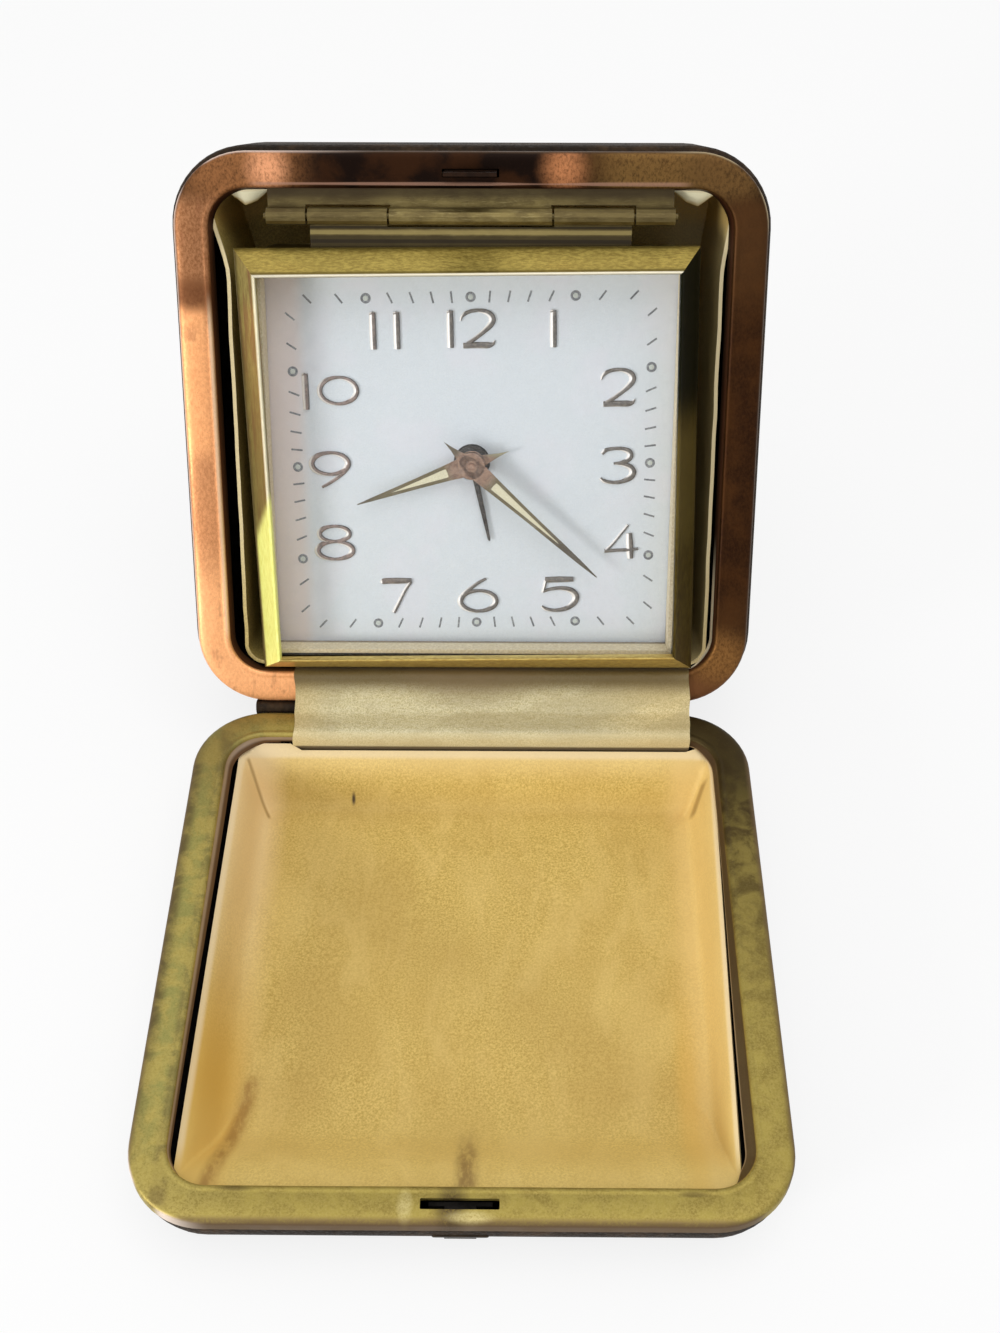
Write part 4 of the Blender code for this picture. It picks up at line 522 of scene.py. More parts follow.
def bezel_right_look():
    """Right chamfer in painted shade: near-black green above, dark olive below."""
    look, streak = brushed_look("bezel_right", "Y", (0.048, 0.03, 0.005), (0.095, 0.066, 0.012),
                                metallic=0.5)
    # Painted shade: near black over the upper part.
    black = look.mix(streak(0.3, 0.7), (0.004, 0.004, 0.001), (0.01, 0.009, 0.001))
    look.paint(black, look.y(3, 12))
    look.paint((0.14, 0.1, 0.024), look.y(-14, -6) * look.y(10, 3) * 0.6)
    look.put("Specular IOR Level", 0.1)
    return look.done()


def dial_look():
    """Silver-white dial, faintly cloudy, with a rosy painted reflection at its left edge."""
    look = Look("dial_silver", CLOCK, roughness=0.42, specular=0.4)
    grain = look.noise(5.5, 3, 0.6)
    cloud = look.noise(0.12, 3, 0.5)
    look.base = look.mix(grain(0.35, 0.68), (0.6, 0.655, 0.7), (0.655, 0.705, 0.745))
    look.paint((0.67, 0.68, 0.74), cloud(0.45, 0.65, 0, 0.5))
    # Painted reflection: a rosy tint along the left edge, beside the bezel.
    look.paint((0.68, 0.58, 0.55), look.x(-22.5, -25) * 0.75)
    return look.done(grain, 0.012, 0.4)


def print_look():
    """Grey-blue ink of the minute marks."""
    return two_tone("dial_ink", (3.4, 3, 0.6), 0.4, 0.7, (0.13, 0.14, 0.155),
                    (0.28, 0.295, 0.31), (0.01, 0.3), roughness=0.6, specular=0.3)


def dot_look():
    """Pale grey-green middle of the hour dots."""
    return two_tone("dot_lume", (9, 3, 0.6), 0.3, 0.7, (0.42, 0.46, 0.44), (0.6, 0.64, 0.61),
                    (0.02, 0.5), roughness=0.7, specular=0.2)


def numeral_look():
    """Raised numerals: dark bronze crests, with painted highlight on flanks that face the light at
    the left and painted shade on those facing away, rosier on the dial's left.
    """
    look = Look("numeral_gilt", FACE, metallic=0.1, roughness=0.36)
    worn = look.noise(1.7, 4, 0.6)
    look.base = look.mix(worn(0.36, 0.66), (0.08, 0.07, 0.06), (0.165, 0.142, 0.12))
    look.paint((0.34, 0.22, 0.19), look.x(-8, -18) * worn(0.35, 0.6, 0.4, 1) * 0.5)
    # Painted light and shade by the way each flank faces: white where it faces the light, near
    # black where it faces away.
    side = look.facing()
    look.paint((0.88, 0.85, 0.82), side(0.12, 0.42))
    look.paint((0.06, 0.05, 0.045), side(-0.2, -0.6))
    return look.done(worn, 0.02, 0.4)


def hand_look():
    """Rose-brown gilt of the hands, dark towards the points, with painted shade on their tails."""
    look = Look("hand_gilt", CLOCK, metallic=0.7, roughness=0.36)
    worn = look.noise(1.4, 4, 0.6, warp=0.5)
    reach = length(look.x, look.y)
    look.base = look.mix(worn(0.36, 0.66), (0.22, 0.135, 0.095), (0.34, 0.22, 0.155))
    look.paint((0.12, 0.105, 0.045), reach(2.6, 4.4, 0, 0.85))
    look.paint((0.075, 0.062, 0.05), reach(12, 18, 0, 0.75))
    # Painted shade on the tails above the hub: dark on the left, olive on the right.
    tail = look.y(0.8, 1.5) * reach(2, 2.9)
    look.paint(look.mix(look.x(-1, 1), (0.1, 0.082, 0.05), (0.3, 0.28, 0.18)), tail * 0.85)
    return look.done(worn, 0.02, 0.4)


def hub_look():
    look = Look("hub_gilt", CLOCK, metallic=0.7, roughness=0.34)
    worn = look.noise(1.6, 5, 0.6, warp=0.6)
    ring = (length(look.x, look.y) * 9).math("SINE")
    look.base = look.mix(worn(0.36, 0.66), (0.23, 0.13, 0.085), (0.4, 0.25, 0.175))
    look.paint((0.55, 0.42, 0.34), ring(0.7, 1, 0, 0.35))
    return look.done(ring, 0.015, 0.5)


def lume_look():
    """Cream paint in the openings of the hands."""
    return two_tone("hand_lume", (6, 4, 0.65), 0.35, 0.7, (0.6, 0.56, 0.38), (0.76, 0.73, 0.55),
                    (0.03, 0.6), roughness=0.7, specular=0.2)


# Near black metal: the alarm hand's dark finish, and painted shade on the wheels under the dial's
# hole.
def dark_metal_and_shade_look(name):
    return two_tone(name, (2.2, 4, 0.6), 0.36, 0.68, (0.022, 0.018, 0.016), (0.07, 0.058, 0.05),
                    (0.02, 0.3), metallic=0.3, roughness=0.45, specular=0.12)


def crystal_look():
    """Clear crystal with the faintest dust."""
    look = Look("crystal_clear", CLOCK, roughness=0.06, specular=0.35)
    dust = look.noise(0.6, 5, 0.7)
    look.base = (0.95, 0.97, 0.97)
    look.put("Alpha", dust(0.4, 0.75, 0.02, 0.055))
    return look.done()


def cream_look():
    look = Look("surround_cream", CLOCK, roughness=0.5, specular=0.4)
    grain = look.noise(2.5, 4, 0.6)
    look.base = look.mix(grain(0.35, 0.7), (0.6, 0.5, 0.31), (0.76, 0.67, 0.47))
    # Painted shade at the foot of the surround's inner wall along the bottom, where it meets the
    # dial.
    look.paint((0.16, 0.11, 0.06), look.z(-1.2, -1.7) * look.y(-20, -26) * 0.85)
    return look.done(grain, 0.02, 0.4)


def brass_look(name, dark, light, place=CLOCK, roughness=0.36):
    """Plain brass with cloudy tarnish and fine scratches."""
    look = Look(name, place, metallic=0.85)
    cloud = look.noise(0.45, 6, 0.65, warp=0.5)
    scratch = look.noise(3.5, 3, 0.6, stretch=(0.25, 1.6, 1))
    look.base = look.mix(cloud(0.35, 0.66), dark, light)
    look.paint(dark, scratch(0.6, 0.72, 0, 0.35))
    look.rough(cloud, roughness - 0.06, roughness + 0.1)
    return look.done(cloud + scratch * 0.5, 0.03, 0.4)


# Mesh building

TURN = 2 * math.pi


def clamped(value):
    return min(1, max(0, value))


def eased(value, start, end):
    share = clamped((value - start) / (end - start))
    return share * share * (3 - 2 * share)


def wave(*at):
    return noise.noise(Vector(at))


def add_object(name, data):
    piece = bpy.data.objects.new(name, data)
    bpy.context.scene.collection.objects.link(piece)
    return piece


def add_piece(name, mesh, place, material, smooth):
    """Object of a mesh given in a frame's millimetres; its own origin is the row's."""
    mesh.transform(place)
    for one in material if isinstance(material, list) else [material]:
        mesh.materials.append(one)
    if smooth:
        mesh.shade_smooth()
        mesh.set_sharp_from_angle(angle=smooth * DEG)
    return add_object(name, mesh)


def add_part(name, mesh, place, material, smooth, body, replaced=None):
    """Piece that rides on one body, and the CAD node whose place it takes."""
    piece = add_piece(name, mesh, place, material, smooth)
    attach(piece, body)
    if replaced:
        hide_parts(replaced)


def mesh_of(shape, name="shape"):
    mesh = bpy.data.meshes.new(name)
    shape.to_mesh(mesh)
    shape.free()
    return mesh


def from_shape(shape):
    bmesh.ops.recalc_face_normals(shape, faces=shape.faces)
    return mesh_of(shape)


def skin(shape, rings, around=False):
    """Quads between rings of (x, y, z) points of equal count, and the rings' vertices."""
    rows = [[shape.verts.new(point) for point in ring] for ring in rings]
    pairs = list(zip(rows, rows[1:]))
    if around:
        pairs.append((rows[-1], rows[0]))
    for one, two in pairs:
        for i in range(len(one)):
            j = (i + 1) % len(one)
            shape.faces.new((one[i], one[j], two[j], two[i]))
    return rows


def lofted(rings, around=False, cap_first=False, cap_last=False):
    """Mesh of a skin over rings."""
    shape = bmesh.new()
    rows = skin(shape, rings, around)
    if cap_first:
        shape.faces.new(rows[0])
    if cap_last:
        shape.faces.new(rows[-1])
    return from_shape(shape)


def circle(radius, z, sides, centre=(0, 0)):
    angles = [TURN * i / sides for i in range(sides)]
    return [(centre[0] + radius * math.cos(angle), centre[1] + radius * math.sin(angle), z)
            for angle in angles]


def rounded_outline(low, high, radius, corner_steps, side_steps):
    """Rectangle with round corners and subdivided sides, anticlockwise from the lower right."""
    (left, bottom), (right, top) = (v + radius for v in low), (v - radius for v in high)
    arcs = []
    for corner, (x, y) in enumerate(((right, bottom), (right, top), (left, top), (left, bottom))):
        angles = [(corner - 1 + i / corner_steps) * 90 * DEG for i in range(corner_steps + 1)]
        arcs.append([Vector((x + radius * math.cos(angle), y + radius * math.sin(angle)))
                     for angle in angles])
    outline = []
    for arc, following in zip(arcs, arcs[1:] + arcs[:1]):
        outline += arc + [arc[-1].lerp(following[0], i / side_steps)
                          for i in range(1, side_steps)]
    return outline


def flat_ring(low, high, radius, z, corner_steps, side_steps):
    return [(p.x, p.y, z) for p in rounded_outline(low, high, radius, corner_steps, side_steps)]


def case_corners(side, inset):
    """Low and high corner at an inset from the edge of the lid, side -1, or the back, side 1."""
    low = 0 if side > 0 else -CASE_HEIGHT
    return ((-CASE_HALF_WIDTH + inset, low + inset),
            (CASE_HALF_WIDTH - inset, low + CASE_HEIGHT - inset))


def case_ring(side, inset, z, corner_steps, side_steps):
    return flat_ring(*case_corners(side, inset), max(CASE_CORNER - inset, 0.4), z, corner_steps,
                     side_steps)


def baked(piece):
    """Final mesh of a helper object, which is removed."""
    bpy.context.view_layer.update()
    depsgraph = bpy.context.evaluated_depsgraph_get()
    mesh = bpy.data.meshes.new_from_object(piece.evaluated_get(depsgraph), depsgraph=depsgraph)
    bpy.data.objects.remove(piece, do_unlink=True)
    return mesh


def modified(mesh, kind, **settings):
    """Mesh after one modifier."""
    piece = add_object("helper", mesh)
    modifier = piece.modifiers.new(kind, kind)
    for name, value in settings.items():
        setattr(modifier, name, value)
    return baked(piece)


def cut_by(mesh, cutter):
    tool = add_object("cutter", cutter)
    result = modified(mesh, "BOOLEAN", operation="DIFFERENCE", solver="EXACT", object=tool)
    bpy.data.objects.remove(tool, do_unlink=True)
    return result


def slot_cutter(half_length, half_width, middle):
    """Cutter with slightly rounded corners, for a slot through a rim."""
    corners = (-half_length, middle - half_width), (half_length, middle + half_width)
    return lofted([flat_ring(*corners, SLOT_CORNER, z, 4, 1) for z in (-3, 3)],
                  cap_first=True, cap_last=True)


def box_mesh(low, high):
    shape = bmesh.new()
    bmesh.ops.create_cube(shape, size=1)
    low, high = Vector(low), Vector(high)
    place = Matrix.Translation((high + low) / 2) @ Matrix.Diagonal((*(high - low), 1))
    bmesh.ops.transform(shape, matrix=place, verts=shape.verts)
    return from_shape(shape)


# Case

RIM_SECTION = [(0, -1.8), (0, -0.75), (0.04, -0.5), (0.14, -0.3), (0.32, -0.14),
               (0.55, -0.04), (0.85, 0.03), (1.3, 0.08), (1.9, 0.11), (2.5, 0.12), (3.1, 0.1),
               (3.6, 0.05), (3.82, 0.03), (3.98, 0.07), (4.15, 0.09), (4.32, 0.06), (4.5, -0.03),
               (4.64, -0.18), (4.7, -0.38), (4.74, -0.6), (4.84, -1.05), (4.98, -1.5),
               (5, -1.62), (4.9, -1.68), (4.7, -1.3), (4.52, -0.8),
               (4.35, -0.62), (4.1, -0.5), (0.6, -0.5), (0.5, -0.62), (0.5, -1.8)]
LIP_START = 4.7
LIP_END = 5.0
RIM_WAVE = 0.06
SLOT_CORNER = 0.15


def lip_reach(side, x, y):
    """How far the sheet turned down inside a rim reaches inwards at a place of its edge."""
    if side < 0:
        along = eased(y, -66, -16)
        left, right = 0.25 + 0.5 * along, 1.15 - 0.65 * along
        rest = 0.1 if y < -40 else 0
    else:
        left, right, rest = 0.5, 0.55, 0.25 * eased(y, 60, 70)
    weight = eased(-x, 29, 33.5) if x < 0 else eased(x, 32.2, 34.6)
    return rest + ((left if x < 0 else right) - rest) * weight


def build_rim(name, side, place, material, cutter, node, body):
    rings = []
    for inset, z in RIM_SECTION:
        base, ahead = (case_ring(side, min(inset, LIP_START) + more, z, 14, 30)
                       for more in (0, 1))
        share = max(0, (inset - LIP_START) / (LIP_END - LIP_START))
        ring = []
        for (x, y, _), (x2, y2, _) in zip(base, ahead):
            reach = share * lip_reach(side, x, y)
            x, y = x + (x2 - x) * reach, y + (y2 - y) * reach
            ring.append((x, y, z + RIM_WAVE * wave(x * 0.08, y * 0.08, z * 0.08 + 3.7)))
        rings.append(ring)
    add_part(name, cut_by(lofted(rings, around=True), cutter), place, material, 40, body,
             node)


def wall_profile(depth, edge, bulge, top, steps=8):
    """Outer wall of a case half from under its rim to its floor, as (inset, height)."""
    profile = [(0.25, -top), (0.05, -top - 0.15), (0, -top - 0.4)]
    if bulge:
        low = -top - BACK_BULGE_HEIGHT
        profile += [(-bulge * 0.6, -top - BACK_BULGE_HEIGHT * 0.5), (-bulge, low)]
        profile += [(-bulge, low * (1 - i / 6) + (edge - depth) * (i / 6)) for i in range(1, 6)]
    for i in range(steps + 1):
        angle = 90 * DEG * i / steps
        profile.append((edge - bulge - edge * math.cos(angle),
                        edge - depth - edge * math.sin(angle)))
    return profile


def build_leather(name, side, place, depth, edge, bulge, node, body, tuck=0, hole=None):
    """Leather covering: a thin shell with a closed, flat floor, tucked in under its rim."""
    profile = wall_profile(depth, edge, bulge, RIM_FLANGE + SEAT_GAP)
    last = profile[-1][0]
    profile = [(inset + tuck * min(1, (depth + z) / (depth - edge)), z) for inset, z in profile]
    profile += [(last + more, -depth) for more in (6, 14, 24)]
    mesh = lofted([case_ring(side, inset, z, 12, 20) for inset, z in profile], cap_last=True)
    mesh = modified(mesh, "SOLIDIFY", thickness=LEATHER, offset=-1, use_even_offset=True)
    if hole:
        mesh = cut_by(mesh, hole)
    add_part(name, mesh, place, leather_look(name, place), 50, body, node)


# Tray of the lid: edge and floor outlines as low corner, high corner and corner radius
TRAY_TOP = ((-34.2, -72.75), (34.3, -5.65), 0.6)
TRAY_FLOOR = ((-29.4, -60), (31, -12.6), 0.8)
TRAY_TOP_Z = -2.2
TRAY_FLOOR_Z = -8.4
# How far its left and right edges lean, and the depth of the pucker at each floor corner
TRAY_SKEW = (0.3, 0.9)
TRAY_PUCKERS = ((31, -12.6, 0.5), (-29.4, -12.6, 0.35), (31, -60, 0.25), (-29.4, -60, 0.3))
TRAY_MIDDLE = -39.4
TRAY_HALF_DEPTH = 33.4
# Its rear corners are tucked back and up under the rim
TUCK_BACK = 0.75
TUCK_UP = 0.6
# Its floor rises in steps of this inset, by this much in all
PILLOW_STEP = 2.45
PILLOW_RISE = 0.4
CARD = 0.5
# How loose the back half's card stands at its left and its right
CARD_LOOSE = (2.1, 1.2)
CARD_TOP = -1.6
# Place, half width and reach of the coves beside the clock's hinge
COVE_AT = 30.4
COVE_HALF = 3.6
COVE_REACH = 2.3


def between(one, two, share):
    return [a + (b - a) * share for a, b in zip(one, two)]


def tray_sag(x, y):
    """Soft waves of the card and the puckers that run in from its corners."""
    sag = 0.26 * wave(x * 0.07, y * 0.07, 1.3) + 0.1 * wave(x * 0.25, y * 0.25, 4.1)
    for corner_x, corner_y, depth in TRAY_PUCKERS:
        along = Vector((x - corner_x, y - corner_y))
        out = Vector((math.copysign(1, corner_x), 1.35 if corner_y > -30 else -2.6)).normalized()
        ahead, aside = along.dot(out), abs(along.cross(out))
        if ahead > -2.5:
            sag -= depth * math.exp(-(aside / 0.6) ** 2) * min(1, (ahead + 2.5) / 2.5)
    return sag


def build_tray(steps=14):
    """Gold card tray: a rolled edge, mitred slopes and a soft fold to a pillowed floor."""
    rings = []
    fall = TRAY_FLOOR_Z - TRAY_TOP_Z
    for i in range(steps + 1):
        share = i / steps
        fold = share - 0.13 * math.sin(TURN * share)
        low, high = (between(TRAY_TOP[k], TRAY_FLOOR[k], share) for k in (0, 1))
        radius = TRAY_TOP[2] + (TRAY_FLOOR[2] - TRAY_TOP[2]) * share
        rings.append(flat_ring(low, high, radius, TRAY_TOP_Z + fall * fold, 4, 40))
    low, high, radius = TRAY_FLOOR
    for i in range(1, 10):
        inset = i * PILLOW_STEP
        lift = PILLOW_RISE * (1 - math.cos(math.pi * min(i / 4, 1))) / 2
        rings.append(flat_ring([v + inset for v in low], [v - inset for v in high],
                               radius * (1 - i / 20), TRAY_FLOOR_Z + lift, 4, 40))
    soft = []
    for ring in rings:
        moved = []
        for x, y, z in ring:
            deep = clamped((TRAY_TOP_Z - z) / 2)
            lean = TRAY_SKEW[0 if x < 0 else 1] * (y - TRAY_MIDDLE) / TRAY_HALF_DEPTH
            lean *= min(1, abs(x) / 25)
            tuck = eased(y, -9, -5.7) * max(eased(-x, 25.9, 26.6), eased(x, 31.7, 32.3))
            moved.append((x + lean * (1 - clamped((TRAY_TOP_Z - z) / -fall)),
                          y + TUCK_BACK * tuck, z + TUCK_UP * tuck + tray_sag(x, y) * deep))
        soft.append(moved)
    mesh = modified(lofted(soft, cap_last=True), "SOLIDIFY", thickness=CARD, offset=1)
    add_part("tray_card", mesh, LID, card_look(), 70, "lid", "lid_lining")


def cove(x, y, drop):
    """How far the card puffs in at the two corners beside the clock's hinge."""
    if y < 60:
        return 0
    side = max(0, 1 - abs(abs(x) - COVE_AT) / COVE_HALF)
    reach = COVE_REACH * (side * side * (3 - 2 * side))
    return reach * min(1, drop / 2.4) * math.exp(-(drop / 9) ** 2)


def local_low(node, place):
    """Lowest height of a CAD node in a frame, in millimetres."""
    inverse = place.inverted()
    return min((inverse @ vertex.co).z for vertex in nodes[node].data.vertices)


def build_back_card(steps=16):
    """Card walls round the clock: close to the rim at the top, loose from it lower down."""
    depth = local_low("back_lining", BACK) + CARD
    rings = []
    for i in range(steps + 1):
        share = (i / steps) ** 1.6
        z = CARD_TOP + (depth - CARD_TOP) * share
        ring = []
        for q in rounded_outline(*case_corners(1, 5 + 0.5 * share), 2.6, 10, 40):
            loose = CARD_LOOSE[0 if q.x < 0 else 1] * eased(q.y, 71.5, 61)
            ring.append((q.x * (1 - loose / 35) + 0.12 * wave(q.x * 0.2, q.y * 0.2, z * 0.3),
                         q.y + 0.9 * eased(q.y, 14, 5) - cove(q.x, q.y, CARD_TOP - z), z))
        rings.append(ring)
    rings += [flat_ring(*case_corners(1, inset), 2, depth, 10, 40) for inset in (9, 14, 22)]
    mesh = modified(lofted(rings, cap_last=True), "SOLIDIFY", thickness=CARD, offset=1)
    add_part("back_card", mesh, BACK, back_card_look(), 60, "back_half",
             "back_lining")


# Cloth and leather across the case hinge, as side views in the lid's frame

def back_to_lid(y, z):
    """A point of the back half's side view, in the lid's side view."""
    point = LID.inverted() @ (BACK @ Vector((0, y, z)))
    return (point.y, point.z)


def smooth_path(points, steps):
    """Catmull-Rom curve through side view points."""
    pts = [Vector(p) for p in points]
    pts = [pts[0] * 2 - pts[1]] + pts + [pts[-1] * 2 - pts[-2]]
    out = []
    for i in range(1, len(pts) - 2):
        a, b, c, d = pts[i - 1:i + 3]
        for t in (k / steps for k in range(steps)):
            out.append(0.5 * ((2 * b) + (c - a) * t + (2 * a - 5 * b + 4 * c - d) * t * t
                              + (3 * b - a - 3 * c + d) * t ** 3))
    return out + [pts[-2]]


def path_length(path):
    return sum((b - a).length for a, b in zip(path, path[1:]))


def sheet_mesh(path, width, thickness, columns, wobble):
    """Sheet that follows a side view path, with a small wave of its own."""
    shape = bmesh.new()
    rows = []
    last = len(path) - 1
    for i, point in enumerate(path):
        along = (path[min(i + 1, last)] - path[max(i - 1, 0)]).normalized()
        normal = Vector((-along.y, along.x))
        row = []
        for j in range(columns + 1):
            side = j / columns
            x, lift = wobble((side - 0.5) * width, side, i / last)
            row.append(shape.verts.new((x, *(point + normal * lift))))
        rows.append(row)
    for one, two in zip(rows, rows[1:]):
        for j in range(columns):
            shape.faces.new((one[j], one[j + 1], two[j + 1], two[j]))
    return modified(from_shape(shape), "SOLIDIFY", thickness=thickness, offset=0)


STRIP_WIDTH = 57.8
STRIP_MIDDLE = 2.9
STRIP_THICKNESS = 0.3
STRIP_GAP = 0.15
STRIP_LIFT = 0.25
RIM_CREST = 0.12
SPINE_WIDTH = 64.0
SPINE_THICKNESS = 0.5


def strip_wobble(x, side, along):
    """Soft vertical folds, held flat where the strip is tucked in at both ends."""
    free = math.sin(math.pi * clamped((along - 0.08) / 0.84))
    lift = 0.26 * wave(x * 0.05, along * 6.5 + x * 0.03, 2.2)
    lift += 0.1 * wave(x * 0.3 - along * 2, along * 3.5, 7.1)
    drift = 0.25 * wave(along * 6, side * 3, 5.5) if side in (0, 1) else 0
    return x + STRIP_MIDDLE + drift, max(lift, -0.05) * free


def spine_wobble(x, side, along):
    return x, 0.06 * wave(x * 0.3, along * 5, 1)


def build_strip():
    inside = RIM_LAND + STRIP_GAP + STRIP_THICKNESS / 2
    height = RIM_CREST + STRIP_LIFT + STRIP_THICKNESS / 2
    corner = RIM_LAND - 0.5
    half = [(inside, -3.2), (inside, -0.6), (corner, height), (2.4, height + 0.05),
            (0.6, height + 0.2)]
    path = smooth_path([back_to_lid(*at) for at in half] + [(-y, z) for y, z in half[::-1]], 7)
    mesh = sheet_mesh(path, STRIP_WIDTH, STRIP_THICKNESS, 120, strip_wobble)
    piece = add_piece("satin_strip", mesh, LID, satin_look(), 70)
    LID @ Vector((0, -0.9, 0.3))
    BACK @ Vector((0, 0.9, 0.3))
    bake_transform(piece)
    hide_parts("hinge_strip")
    path_length(path) * MM


def build_spine():
    out = SEAT_GAP + SPINE_THICKNESS / 2
    path = smooth_path([(out, -4.6), (out, -2.2), (out, -0.9), (out, -0.35),
                        back_to_lid(-out, -0.35), back_to_lid(-out, -1.8),
                        back_to_lid(-out - BACK_BULGE, -4.6)], 6)
    mesh = sheet_mesh(path, SPINE_WIDTH, SPINE_THICKNESS, 60, spine_wobble)
    piece = add_piece("spine", mesh, LID, leather_look("leather_spine", LID), 70)
    LID @ Vector((0, 0.3, -0.6))
    BACK @ Vector((0, -0.3, -0.6))
    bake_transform(piece)
    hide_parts("spine_leather")


# Clock face

# How far the bezel's corners stand from a true rectangle, outside and inside, from the top
# left corner clockwise
OUTER_DRIFT = ((-0.45, 0.4), (-0.2, -0.1), (0, -0.65), (0.2, 0.2))
INNER_DRIFT = ((-0.15, -0.2), (-0.2, -0.4), (-0.1, -0.55), (0.2, -0.35))
BEZEL_STEPS = 16
BEZEL_PEAK = BEZEL_FACE + BEZEL_RISE
# Inset and height of the rolled outer edge, and inset and drop from the peak of the inner one
BEZEL_OUTSIDE = [(0, -0.5), (0, 0.15), (0.06, 0.32), (0.22, 0.62)]
BEZEL_INSIDE = [(2.5, 0.28), (2.62, 0.1), (2.78, 0.01), (2.92, 0.03), (3, 0.16), (3, 1.5),
                (2.35, 1.5), (2.35, BEZEL_PEAK - 1.62), (2.1, BEZEL_PEAK - 1.62), (2.1, 1.7),
                (0.4, BEZEL_RISE + 0.1), (0.4, BEZEL_PEAK + 0.5)]


def build_bezel():
    """Mitred frame with four brushed chamfers, each its own material, and rolled edges; the four
    materials are copies of one brass, lit or shaded in paint.
    """
    slope = BEZEL_RISE / BEZEL_CHAMFER
    start, end = BEZEL_OUTSIDE[-1][0], BEZEL_INSIDE[0][0]
    chamfer = [start + (end - start) * i / 6 for i in range(1, 6)]
    section = BEZEL_OUTSIDE + [(inset, BEZEL_FACE + 0.02 + (inset - 0.05) * slope)
                               for inset in chamfer]
    section += [(inset, BEZEL_PEAK - drop) for inset, drop in BEZEL_INSIDE]
    rings = []
    for inset, z in section:
        x1, y1 = BEZEL_HALF_WIDTH - inset, BEZEL_HALF_HEIGHT - inset
        share = min(1, inset / BEZEL_CHAMFER)
        corners = [Vector((x + a + (c - a) * share, y + b + (d - b) * share))
                   for (x, y), (a, b), (c, d) in zip(
                       ((-x1, y1), (x1, y1), (x1, -y1), (-x1, -y1)), OUTER_DRIFT, INNER_DRIFT)]
        rings.append([(*a.lerp(b, i / BEZEL_STEPS), z) for a, b in zip(
            corners, corners[1:] + corners[:1]) for i in range(BEZEL_STEPS)])
    shape = bmesh.new()
    skin(shape, rings, around=True)
    for i, face in enumerate(shape.faces):
        face.material_index = i // BEZEL_STEPS % 4
    # Painted light and shade: the upper chamfer olive gold, the lower one lighter, the right one
    # dark and the left one bright below.
    top = bezel_bar_look("bezel_top", 1, (0.35, 0.255, 0.058), (0.61, 0.47, 0.115),
                         (0.13, 0.095, 0.02))
    bottom = bezel_bar_look("bezel_bottom", -1, (0.52, 0.345, 0.088), (0.8, 0.64, 0.21),
                            (0.2, 0.12, 0.03))
    add_part("bezel_frame", from_shape(shape), BEZEL,
             [top, bezel_right_look(), bottom, bezel_left_look()], 32, "clock", "bezel")


def add_bar(shape, a, b, width, low, high, taper=0.75):
    """Raised bar between two points of the dial, narrower on top."""
    along = (b - a).normalized()
    across = Vector((-along.y, along.x)) * width / 2
    base = [a - across, b - across, b + across, a + across]
    centre = (a + b) / 2
    top = [centre + (p - centre) * 0.97 + (across * (1 - taper) * (-1 if i > 1 else 1))
           for i, p in enumerate(base)]
    for row in skin(shape, [[(*p, z) for p in ring] for ring, z in ((base, low), (top, high))]):
        shape.faces.new(row)


DOT_HALF = (25, 23.4)
DOT_SIDES = 20
TICK_LENGTH = 1.6
TICK_WIDTH = 0.27
INK_RISE = 0.03


def minute_place(minute):
    """Point of the minute on the dot rectangle, and the direction from the middle."""
    x, y = math.sin(minute * 6 * DEG), math.cos(minute * 6 * DEG)
    longer = max(abs(x), abs(y))
    point = Vector((DOT_HALF[0] * x / longer, DOT_HALF[1] * y / longer))
    return point, point.normalized()


def build_ticks():
    shape = bmesh.new()
    for minute in filter(lambda m: m % 5, range(60)):
        point, out = minute_place(minute)
        add_bar(shape, point - out * TICK_LENGTH / 2, point + out * TICK_LENGTH / 2, TICK_WIDTH,
                -DIAL_DROP, -DIAL_DROP + INK_RISE)
    add_part("minute_marks", from_shape(shape), FACE, print_look(), 0, "clock")


def build_dots():
    """Ring and middle of each hour's dot, as (radius, rise over the dial)."""
    for name, material, profile in (
            ("dot_rings", print_look(), [(0.72, 0), (0.64, 0.07), (0.44, 0.07), (0.36, 0)]),
            ("dot_middles", dot_look(), [(0.4, 0), (0.32, 0.045), (0.2, 0.075)])):
        shape = bmesh.new()
        closed = name == "dot_rings"
        for hour in range(12):
            centre = minute_place(hour * 5)[0]
            rows = skin(shape, [circle(radius, rise - DIAL_DROP, DOT_SIDES, centre)
                                for radius, rise in profile], around=closed)
            if not closed:
                shape.faces.new(rows[-1])
                shape.faces.new(rows[0])
        add_part(name, from_shape(shape), FACE, material, 30, "clock")


# Numerals: strokes of (x, y, width) in millimetres from the numeral's middle
def oval(rx, ry, cy, thin, thick, steps):
    """Oval whose stroke is thick at its sides and thin above and below."""
    points = []
    for i in range(steps + 1):
        angle = 360 * i / steps * DEG
        share = abs(math.cos(angle)) ** 1.4
        points.append((rx * math.cos(angle), cy + ry * math.sin(angle),
                       thin + (thick - thin) * share))
    return points


